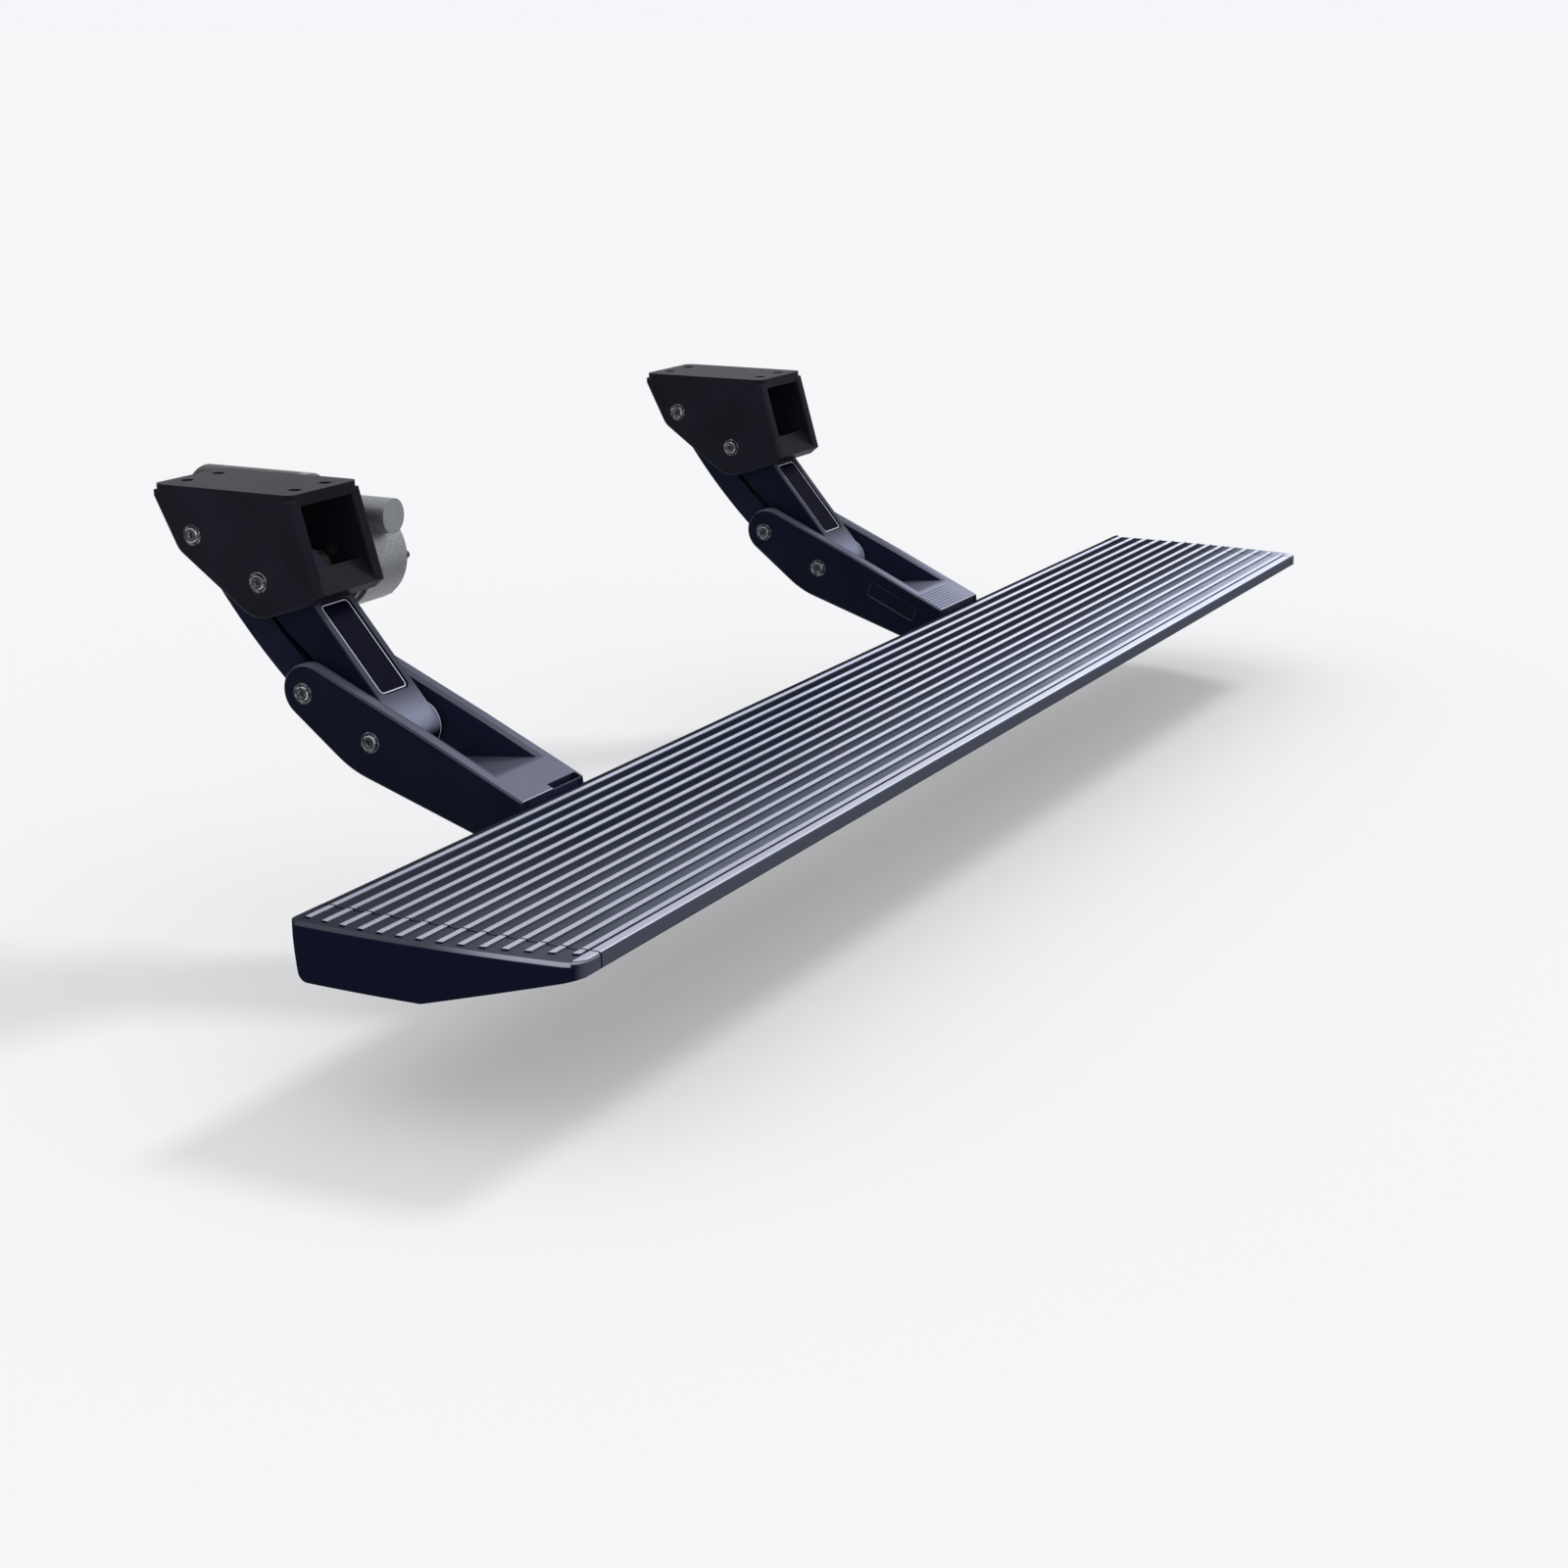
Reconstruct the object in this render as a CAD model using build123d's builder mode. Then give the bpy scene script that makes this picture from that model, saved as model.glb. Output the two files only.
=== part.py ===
"""Electric side step: a ribbed step board on two folding linkages, one of them driven.

X runs along the board from its front end, Y points inboard and Z points up.
The origin is on the front bracket's top face, at the centre of its bolt pattern.
The model stands in its let-down position.
"""

from build123d import *

import os
from math import atan2, cos, degrees, hypot, pi, radians, sin

os.makedirs("parts", exist_ok=True)

# Layout along the board
linkage_spacing = 803.0
board_overhang = 343.6
board_length = 1611.0

# Swing geometry: the two links and the two pivot pairs make a parallelogram
drive_pivot_y = -33.0
drive_pivot_z = -73.3
link_length = 160.0
link_angle = 49.5
pivot_spread = 73.0
pivot_tilt = 27.3
arm_reach = 144.1
arm_drop = 37.0

# Step board section
board_width = 229.0
board_height = 45.0
board_lean = 7.0
crease_out = 107.5
nose_height = 12.0
board_wall = 2.8
tread_skin = 3.4
edge_round = 3.0
rim_round = 3.5
border_width = 4.5
border_round = 1.8
keel_round = 8.0
rib_count = 14
rib_width = 5.6
rib_rise = 1.4
rib_flank = 76.0
first_rib_out = 9.7
nosing_gap = 2.4
nosing_width = 8.3
web_outs = (57.5, 107.5, 163.5)
web_thickness = 2.6
nose_solid = 10.0
tslot_outs = (33.5, 85.5)
tslot_mouth = 9.0
tslot_room = 17.6
tslot_room_height = 7.4
tslot_lip = 3.6
tslot_wall = 3.4

# End caps
cap_length = 37.4
cap_seam = 0.4
cap_setback = 12.0
cap_bulge = 5.0
cap_inner_round = 6.0
cap_outer_round = 18.0
cap_end_wall = 17.0
plug_reach = 22.0
plug_clearance = 0.3
plug_wall = 2.4
tip_radius = 435.0
tip_nearest = 4.4
tip_nearest_out = 75.0

# Step arms
arm_width = 92.0
cheek = 12.0
far_cheek = 18.0
tail_radius = 23.0
tail_shift_out = 3.5
tail_shift_up = 1.5
arm_end_rise = 5.5
arm_knee_out = -91.5
arm_knee_up = 47.3
arm_heel_out = -165.0
arm_heel_up = 11.4
heel_round = 90.0
knee_round = 160.0
arm_sole_out = -50.5
arm_sole_up = -25.0
slot_end_out = -31.5
slot_floor_up = 20.7
slot_floor_in = -118.5
slot_floor_low = 10.7
slot_toe = 4.0
foot_length = 98.5
foot_thickness = 8.0
foot_haunch_out = -8.0
arm_edge = 1.5
outline_overshoot = 1.0
seat_gap = 0.3
end_notch_width = 42.0
end_notch_length = 6.0
end_notch_depth = 3.0
badge_length = 57.0
badge_height = 15.0
badge_depth = 0.6
badge_out = -57.5
badge_up = 9.0
badge_round = 2.0
arm_bolt_radius = 4.0
arm_bolt_clearance = 0.5
arm_bolt_spread = 56.0
arm_bolt_grip = 9.0
bolt_head_radius = 6.5
bolt_head_height = 8.0
bolt_key = 6.0
nut_square = 14.0
nut_height = 5.0

# Pivots
pin_radius = 8.0
running_fit = 0.05
push_fit = 0.02
pin_recess = 3.0
cup_radius = 8.7
ring_radius = 8.5
ring_bore_radius = 4.3
ring_plate = 1.5
ring_rim = 1.2
ring_proud = 0.3
screw_radius = 4.0
screw_head_radius = 6.0
screw_head_height = 3.4
screw_head_round = 1.4
screw_length = 16.0
screw_key = 6.0
screw_key_depth = 2.0
bush_radius = 11.0
bush_flange_radius = 14.0
bush_flange = 1.3
spacer_radius = 12.5
spacer_length = 3.6
side_gap = 0.2

# Links
nose_boss = 3.5
nose_radius = 22.0
crown_radius = 18.5
link_shoulder = 132.0
link_throat = 9.5
throat_start = 45.0
throat_end = 90.0
belly_end = 118.0
belly_depth = 15.0
nose_tangent = 14.0
nose_chin = 17.0
chin_round = 30.0
throat_round = 60.0
shoulder_round = 60.0
panel_start = 26.0
panel_end = 118.0
panel_border = 7.0
panel_depth = 1.2
panel_round = 6.0
link_pocket_wall = 7.5
link_pocket_start = 32.0
link_pocket_end = 128.0
link_pocket_roof = 9.0
link_pocket_round = 8.0
link_edge = 0.8
guide_sag = 6.0
guide_depth = 26.0
guide_boss = 15.5
guide_window_wall = 10.5
guide_window_start = 28.0

# Brackets
ear_thickness = 11.5
ear_drive_radius = 30.0
ear_guide_radius = 20.0
plate_length = 140.0
plate_thickness = 10.0
plate_round = 8.0
plate_bolt_x = 40.0
plate_bolt_y = 110.0
plate_bolt_radius = 5.5
stop_along = 32.0
stop_pad_radius = 9.0
stop_pad_height = 5.5
stop_bar_width = 24.0
stop_bar_depth = 12.0
bracket_edge = 1.2

# Drive shaft and gearbox
shaft_radius = 10.0
shaft_hex = 17.0
hex_fit = 0.05
shaft_bush_radius = 13.0
gear_reach = 34.0
gear_module = 2.0
wheel_teeth = 30
wheel_width = 10.0
wheel_hub_radius = 15.0
wheel_hub_length = 20.0
tooth_tip_width = 1.6
tooth_root_width = 3.4
tooth_addendum = 2.0
tooth_dedendum = 2.5
worm_pitch_radius = 8.0
worm_turns = 8
thread_tip_width = 1.3
thread_root_width = 3.0
thread_sink = 0.3
case_radius = 41.0
case_bore = 33.5
case_base_radius = 38.0
case_base = 7.0
case_floor = 16.0
case_depth = 54.0
cover_thickness = 5.0
bearing_radius = 15.0
bearing_length = 7.5
journal_radius = 7.0
cover_bearing_radius = 11.0
cover_boss_radius = 14.0
cover_boss_length = 6.0
cover_screw_circle = 37.2
cover_screw_count = 6
cover_screw_radius = 2.0
cover_screw_head_radius = 3.6
cover_screw_head = 3.0
cover_screw_length = 14.0
mount_screw_circle = 22.0
mount_screw_count = 4
mount_screw_radius = 3.0
mount_screw_head_radius = 5.0
mount_screw_head = 5.0
mount_screw_length = 18.0
mount_screw_recess = 5.5
worm_tube_radius = 15.0
worm_tube_bore = 10.8
worm_tail = 46.0
worm_tail_wall = 4.0
worm_lip = 2.0
worm_lip_gap = 0.4
motor_face_y = 14.0
motor_flange_thickness = 7.0
motor_radius = 30.0
motor_length = 106.0
motor_wall = 2.5
motor_end_wall = 8.0
motor_end_round = 4.0
motor_shaft_radius = 4.0
ball_bearing_radius = 8.0
ball_bearing_width = 6.0
magnet_thickness = 3.5
magnet_arc = 130.0
magnet_length = 66.0
magnet_start = 14.0
armature_gap = 0.8
armature_length = 58.0
armature_start = 18.0
armature_slots = 8
armature_slot_width = 4.0
armature_slot_depth = 7.0
commutator_radius = 10.0
commutator_length = 12.0
commutator_gap = 4.0
socket_width = 20.0
socket_height = 14.0
socket_depth = 14.0
socket_wall = 1.8
socket_pin_radius = 1.2
socket_pin_spread = 8.0

# Worked out from the values above
drive_top = (drive_pivot_y, drive_pivot_z)
link_run_y = link_length * cos(radians(link_angle))
link_run_z = link_length * sin(radians(link_angle))
spread_y = pivot_spread * cos(radians(pivot_tilt))
spread_z = pivot_spread * sin(radians(pivot_tilt))
drive_low = (drive_pivot_y - link_run_y, drive_pivot_z - link_run_z)
guide_top = (drive_top[0] + spread_y, drive_top[1] + spread_z)
guide_low = (drive_low[0] + spread_y, drive_low[1] + spread_z)
board_y = drive_low[0] - arm_reach
tread_z = drive_low[1] - arm_drop
board_start = -board_overhang
board_middle = board_start + board_length / 2
rib_span = board_width - nosing_width - nosing_gap - rib_width / 2 - first_rib_out
rib_pitch = rib_span / (rib_count - 1)
slope = (board_height - nose_height) / (board_width - crease_out)
half_arm = arm_width / 2
cheek_face = half_arm - cheek
far_face = half_arm - far_cheek
ear_face = half_arm - ear_thickness
link_near_x = side_gap + bush_flange - cheek_face
nose_far_x = far_face - 2 * side_gap - spacer_length
link_far_x = nose_far_x - nose_boss
gear_x = half_arm + gear_reach
case_face = half_arm + case_depth
gear_radius = gear_module * wheel_teeth / 2
worm_lead = pi * gear_module
worm_tip_radius = worm_pitch_radius + tooth_addendum
worm_root_radius = worm_pitch_radius - tooth_dedendum
worm_z = drive_pivot_z + gear_radius + worm_pitch_radius
motor_bore = motor_radius - motor_wall
armature_radius = motor_bore - magnet_thickness - armature_gap
motor_end_y = motor_face_y + motor_length
tail_seat = drive_pivot_y - worm_tail + worm_tail_wall
front_seat = motor_face_y - ball_bearing_width
worm_room = front_seat - worm_lip - tail_seat - ball_bearing_width
back_slope = degrees(atan2(arm_knee_up - arm_end_rise, -arm_knee_out))
linkages = (("front", 0.0), ("rear", linkage_spacing))


# Helpers
def at(out, up):
    """Point of the Y-Z plane: outboard from the board's inboard edge and up from its tread."""
    return (board_y - out, tread_z + up)


def on_link(along, off):
    """Point of the Y-Z plane: along the drive link from its lower pivot, and off towards its back."""
    turn = radians(link_angle)
    return (
        drive_low[0] + along * cos(turn) - off * sin(turn),
        drive_low[1] + along * sin(turn) + off * cos(turn),
    )


def side(x):
    """Sketch plane across the board at x, with Y to the right and Z up."""
    return Plane.YZ.offset(x)


def pivot(x, centre):
    """Sketch plane across the board at x, centred on a pivot."""
    return Plane(origin=(x, centre[0], centre[1]), x_dir=(0, 1, 0), z_dir=(1, 0, 0))


def nearest(sketch, point):
    """Vertex of a sketch nearest to a point of its plane."""
    return sketch.vertices().sort_by_distance((point[0], point[1], 0))[0]


def write(builder, name):
    """Label the finished piece and write its STEP file."""
    builder.part.label = name
    export_step(builder.part, f"parts/{name}.step")


def disc(x_low, x_high, centre, radius, mode=Mode.ADD):
    """Round solid between two x positions, added to the part being built."""
    with Locations(pivot(x_low, centre).location):
        Cylinder(radius, x_high - x_low, align=(Align.CENTER, Align.CENTER, Align.MIN), mode=mode)


def bore(x_low, x_high, centre, radius):
    """Round hole between two x positions, cut from the part being built."""
    disc(x_low, x_high, centre, radius, Mode.SUBTRACT)


def ring(x_low, x_high, centre, outer, inner):
    """Plain ring between two x positions, added to the part being built."""
    disc(x_low, x_high, centre, outer)
    bore(x_low, x_high, centre, inner)


# Step board
def keel_up(out):
    """Height of the board's underside at a distance outboard."""
    return -board_height + max(0.0, out - crease_out) * slope


def nosing_out():
    """Inboard side of the nosing band along the board's outboard edge."""
    return board_width - nosing_width


def draw_outline(section, bordered=True):
    """Draw the board's outside section without its ribs, its nose and keel rounded."""
    edge = [at(board_lean * rib_rise / board_height, -rib_rise)]
    if bordered:
        edge = [at(0, 0), at(border_width, 0), at(border_width, -rib_rise)]
    Polygon(
        *edge,
        at(board_width, -rib_rise),
        at(board_width, -nose_height),
        at(crease_out, -board_height),
        at(board_lean, -board_height),
        align=None,
    )
    fillet(nearest(section, at(board_width, -nose_height)), edge_round)
    fillet(nearest(section, at(board_lean, -board_height)), keel_round)


def cell_bounds():
    """Inner faces of the board's cells, from the inboard wall to the nose."""
    stops = [board_lean + board_wall]
    for web in web_outs:
        stops += [web - web_thickness / 2, web + web_thickness / 2]
    stops.append(board_width - nose_solid)
    return list(zip(stops[0::2], stops[1::2]))


def draw_cell(low_out, high_out, clearance, mode):
    """Draw one cell of the board, drawn in by a clearance."""
    roof = -rib_rise - tread_skin - clearance
    floor_rise = board_wall * hypot(1, slope) + clearance
    low = low_out + clearance
    high = high_out - clearance
    Polygon(
        at(low, roof),
        at(high, roof),
        at(high, keel_up(high) + floor_rise),
        at(low, keel_up(low) + floor_rise),
        align=None,
        mode=mode,
    )


def draw_ribs():
    """Draw the tread ribs, each a low trapezoid that stands on the tread."""
    places = [at(first_rib_out + count * rib_pitch, -rib_rise) for count in range(rib_count)]
    with Locations(*places):
        Trapezoid(rib_width, rib_rise, rib_flank, align=(Align.CENTER, Align.MIN))


def make_board():
    """Extruded board: ribbed tread, hollow cells and two T-slots in its underside."""
    with BuildPart() as board:
        with BuildSketch(side(board_start + cap_length + cap_seam)) as section:
            draw_outline(section)
            with Locations(at(nosing_out(), -nose_height / 2)):
                Rectangle(nosing_width, nose_height / 2, align=(Align.MAX, Align.MIN))
            fillet(nearest(section, at(board_width, 0)), edge_round)
            fillet(nearest(section, at(0, 0)), border_round)
            draw_ribs()
            for low, high in cell_bounds():
                draw_cell(low, high, 0, Mode.SUBTRACT)
            block_height = tslot_lip + tslot_room_height + tslot_wall
            with Locations(*[at(out, -board_height) for out in tslot_outs]):
                Rectangle(tslot_room + 2 * tslot_wall, block_height, align=(Align.CENTER, Align.MIN))
                Rectangle(tslot_mouth, tslot_lip + 1, align=(Align.CENTER, Align.MIN), mode=Mode.SUBTRACT)
            with Locations(*[at(out, -board_height + tslot_lip) for out in tslot_outs]):
                Rectangle(
                    tslot_room, tslot_room_height, align=(Align.CENTER, Align.MIN), mode=Mode.SUBTRACT
                )
        extrude(amount=board_length - 2 * (cap_length + cap_seam))
    return board


# End caps
def cap_plan():
    """The cap from above: a shallow arc for its end and two rounded corners."""
    seam_x = board_start + cap_length
    inner = (board_start, board_y)
    outer = (board_start + cap_setback, board_y - board_width)
    middle_x = board_start + cap_setback / 2 - cap_bulge
    middle = (middle_x, board_y - board_width / 2)
    with BuildSketch() as plan:
        with BuildLine():
            ThreePointArc(inner, middle, outer)
            Polyline(outer, (seam_x, outer[1]), (seam_x, inner[1]), inner)
        make_face()
        fillet(nearest(plan, inner), cap_inner_round)
        fillet(nearest(plan, outer), cap_outer_round)
    return plan.sketch


def rim_edges(solid):
    """Top edges of a solid of the cap's plan, without the one at the seam."""
    seam_x = board_start + cap_length
    top = solid.faces().sort_by(Axis.Z)[-1]
    return top.edges().filter_by(lambda edge: edge.center().X < seam_x - cap_seam)


def make_cap():
    """Moulded end cap: carries the ribs on to their tips and plugs into the board's cells."""
    with BuildPart() as cap:
        with BuildSketch(Plane.XY.offset(tread_z - rib_rise)):
            add(cap_plan())
        extrude(amount=-board_height)
        fillet(rim_edges(cap), rim_round)
        with BuildSketch(side(board_start - 1)) as section:
            draw_outline(section, bordered=False)
        extrude(amount=cap_length + 1, mode=Mode.INTERSECT)
        with BuildSketch(side(board_start + cap_end_wall)):
            for low, high in cell_bounds():
                draw_cell(low, high, 0, Mode.ADD)
        extrude(amount=cap_length, mode=Mode.SUBTRACT)
        with BuildSketch(side(board_start + cap_end_wall - 1)):
            draw_plugs(plug_clearance, Mode.ADD)
            draw_plugs(plug_clearance + plug_wall, Mode.SUBTRACT)
        extrude(amount=cap_length - cap_end_wall + 1 + plug_reach)
        add(make_cap_tread())
    return cap


def draw_plugs(clearance, mode):
    """Draw the cap's plugs: one fills a cell, two stand on the blocks of the T-slots."""
    low, high = cell_bounds()[2]
    draw_cell(low, high, clearance, mode)
    block_top = tslot_lip + tslot_room_height + tslot_wall - board_height
    height = -rib_rise - tread_skin - block_top - 2 * clearance
    with Locations(*[at(out, block_top + clearance) for out in tslot_outs]):
        Rectangle(tslot_room - 2 * clearance, height, align=(Align.CENTER, Align.MIN), mode=mode)


def make_cap_band(rounding, *corners):
    """Band of the cap at the height of the rib crests, rounded along the cap's rim and cut to a section."""
    with BuildPart() as band:
        with BuildSketch(Plane.XY.offset(tread_z - nose_height / 2)):
            add(cap_plan())
        extrude(amount=nose_height / 2)
        fillet(rim_edges(band), rounding)
        with BuildSketch(side(board_start - 1)):
            Polygon(*corners, align=None)
        extrude(amount=cap_length + 1, mode=Mode.INTERSECT)
    return band.part


def make_cap_tread():
    """Ribs and nosing on the cap, the ribs cut off along a shallow arc of tips."""
    tip_y = board_y - tip_nearest_out
    tip_x = board_start + tip_nearest + tip_radius
    with BuildPart() as ribs:
        with BuildSketch(side(board_start)):
            draw_ribs()
        extrude(amount=cap_length)
        with BuildSketch(Plane.XY.offset(tread_z - board_height)):
            with Locations((tip_x, tip_y)):
                Circle(tip_radius)
        extrude(amount=2 * board_height, mode=Mode.INTERSECT)
    low = -nose_height
    border = make_cap_band(
        border_round, at(0, 0), at(border_width, 0), at(border_width, low), at(board_lean * nose_height / board_height, low)
    )
    beyond = board_width + 1
    nosing = make_cap_band(edge_round, at(nosing_out(), 1), at(beyond, 1), at(beyond, low), at(nosing_out(), low))
    return [ribs.part, border, nosing]


# Step arms
def draw_arm_outline(outline):
    """Draw the arm from the side: a rounded tail, a bent back and a long tapering sole."""
    tail = (guide_low[0] - tail_shift_out, guide_low[1] + tail_shift_up)
    knee = at(arm_knee_out, arm_knee_up)
    heel = at(arm_heel_out, arm_heel_up)
    with Locations(tail):
        Circle(tail_radius)
    Polygon(
        knee,
        at(-seat_gap, arm_end_rise),
        at(board_lean, -board_height),
        heel,
        align=None,
    )
    make_hull()
    fillet(nearest(outline, heel), heel_round)
    fillet(nearest(outline, knee), knee_round)
    Polygon(
        at(arm_sole_out, arm_sole_up),
        at(foot_haunch_out, -board_height - foot_thickness),
        at(foot_length, -board_height - foot_thickness),
        at(foot_length, -board_height),
        at(board_lean, -board_height),
        at(arm_sole_out / 2, arm_sole_up / 2),
        align=None,
    )


def make_arm(x, notched, badged):
    """Forked step arm: two cheeks round an open slot, a sloping floor and a foot under the board."""
    low_x = x - half_arm
    with BuildPart() as arm:
        with BuildSketch(side(low_x)) as outline:
            draw_arm_outline(outline)
        extrude(amount=arm_width)
        chamfer(arm.faces().filter_by(Axis.X).edges(), arm_edge)
        with BuildSketch(side(low_x - outline_overshoot)) as seat:
            draw_outline(seat)
        extrude(amount=arm_width + 2 * outline_overshoot, mode=Mode.SUBTRACT)
        with BuildSketch(side(x - cheek_face)):
            with BuildLine():
                Polyline(
                    at(slot_end_out, 4 * slot_floor_up),
                    at(slot_end_out, slot_floor_up),
                    at(slot_floor_in, slot_floor_low),
                    at(slot_floor_in - slot_toe, -slot_floor_up),
                    at(2.5 * slot_floor_in, -slot_floor_up),
                    at(2.5 * slot_floor_in, 6 * slot_floor_up),
                    close=True,
                )
            make_face()
        extrude(amount=cheek_face + far_face, mode=Mode.SUBTRACT)
        for centre in (drive_low, guide_low):
            bore(low_x - 1, low_x + arm_width + 1, centre, pin_radius + push_fit)
            bore(low_x - 1, low_x + pin_recess, centre, cup_radius)
            bore(low_x + arm_width - pin_recess, low_x + arm_width + 1, centre, cup_radius)
        with BuildSketch(Plane.XY.offset(tread_z - board_height - foot_thickness)):
            with Locations(*arm_bolt_places(x)):
                Circle(arm_bolt_radius + arm_bolt_clearance)
        extrude(amount=foot_thickness + 1, mode=Mode.SUBTRACT)
        if notched:
            with BuildSketch(side(x)):
                with Locations(at(-seat_gap, arm_end_rise + end_notch_depth)):
                    Rectangle(end_notch_length, 3 * end_notch_depth, align=(Align.MIN, Align.MAX))
            extrude(amount=end_notch_width, mode=Mode.SUBTRACT)
        if badged:
            with BuildSketch(side(low_x)):
                with Locations(at(badge_out, badge_up)):
                    RectangleRounded(badge_length, badge_height, badge_round, rotation=back_slope)
            extrude(amount=badge_depth, mode=Mode.SUBTRACT)
    return arm


def arm_bolt_places(x):
    """Bolt places in the foot, two on each T-slot."""
    return [(x + side_step * arm_bolt_spread / 2, board_y - out) for out in tslot_outs for side_step in (-1, 1)]


def make_arm_bolts():
    """Socket-head bolts that go up through the arms' feet into the T-slots."""
    foot_z = tread_z - board_height - foot_thickness
    with BuildPart() as bolts:
        for _, x in linkages:
            with BuildSketch(Plane.XY.offset(foot_z)):
                with Locations(*arm_bolt_places(x)):
                    Circle(bolt_head_radius)
            extrude(amount=-bolt_head_height)
            with BuildSketch(Plane.XY.offset(foot_z)):
                with Locations(*arm_bolt_places(x)):
                    Circle(arm_bolt_radius)
            extrude(amount=foot_thickness + arm_bolt_grip)
            with BuildSketch(Plane.XY.offset(foot_z - bolt_head_height)):
                with Locations(*arm_bolt_places(x)):
                    RegularPolygon(bolt_key / 2, 6, major_radius=False)
            extrude(amount=bolt_head_height / 2, mode=Mode.SUBTRACT)
    return bolts


def make_slot_nuts():
    """Square nuts that hold the arm bolts in the board's T-slots."""
    with BuildPart() as nuts:
        for _, x in linkages:
            with BuildSketch(Plane.XY.offset(tread_z - board_height + tslot_lip)):
                with Locations(*arm_bolt_places(x)):
                    Rectangle(nut_square, nut_square)
                    Circle(arm_bolt_radius + push_fit, mode=Mode.SUBTRACT)
            extrude(amount=nut_height)
    return nuts


# Pivot pins, their end screws and rings, bushes and spacers
def make_pin(x, centre):
    """Plain pivot pin with a screw hole in each end."""
    half = half_arm - pin_recess
    with BuildPart() as pin:
        with BuildSketch(pivot(x - half, centre)):
            Circle(pin_radius)
        extrude(amount=2 * half)
        for end in (x - half, x + half - screw_length):
            bore(end, end + screw_length, centre, screw_radius + push_fit)
    return pin


def make_ring(x, outward, centre):
    """Cupped ring that closes one end of a pivot, outward being the x direction it faces."""
    seat = pivot(x - outward * pin_recess, centre)
    with BuildPart() as cup:
        with BuildSketch(seat):
            Circle(ring_radius)
            Circle(ring_bore_radius, mode=Mode.SUBTRACT)
        extrude(amount=outward * ring_plate)
        with BuildSketch(seat):
            Circle(ring_radius)
            Circle(ring_radius - ring_rim, mode=Mode.SUBTRACT)
        extrude(amount=outward * (pin_recess + ring_proud))
    return cup.part


def make_screw(x, outward, centre):
    """Domed socket screw in one end of a pivot, seated on its ring."""
    seat = x - outward * (pin_recess - ring_plate)
    face = seat + outward * screw_head_height
    with BuildPart() as screw:
        with BuildSketch(pivot(seat, centre)):
            Circle(screw_head_radius)
        extrude(amount=outward * screw_head_height)
        crown = screw.faces().filter_by(Axis.X).sort_by_distance((face, *centre))[0]
        fillet(crown.edges(), screw_head_round)
        with BuildSketch(pivot(seat, centre)):
            Circle(screw_radius)
        extrude(amount=-outward * (screw_length - 2 * ring_plate))
        with BuildSketch(pivot(face, centre)):
            RegularPolygon(screw_key / 2, 6, major_radius=False)
        extrude(amount=-outward * screw_key_depth, mode=Mode.SUBTRACT)
    return screw.part


def make_at_ends(maker, ends):
    """Group of like pieces, one for each pivot end."""
    with BuildPart() as group:
        for x, outward, centre in ends:
            add(maker(x, outward, centre))
    return group


def pivot_ends(x, centre):
    """Both ends of a pivot that spans an arm or a bracket."""
    return [(x - half_arm, -1, centre), (x + half_arm, 1, centre)]


def make_bush(x, centre, far_x):
    """Flanged bush through a link's boss."""
    with BuildPart() as bush:
        ring(x + link_near_x, x + far_x, centre, bush_radius, pin_radius + running_fit)
        ring(
            x + link_near_x - bush_flange, x + link_near_x, centre, bush_flange_radius, pin_radius + running_fit
        )
    return bush


def make_spacers(x, places, limit, inner):
    """Spacers that fill the gap beyond the links' far faces, each on its own pivot."""
    with BuildPart() as spacers:
        for centre, far_x in places:
            ring(x + far_x + side_gap, x + limit - side_gap, centre, spacer_radius, inner)
    return spacers


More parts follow.
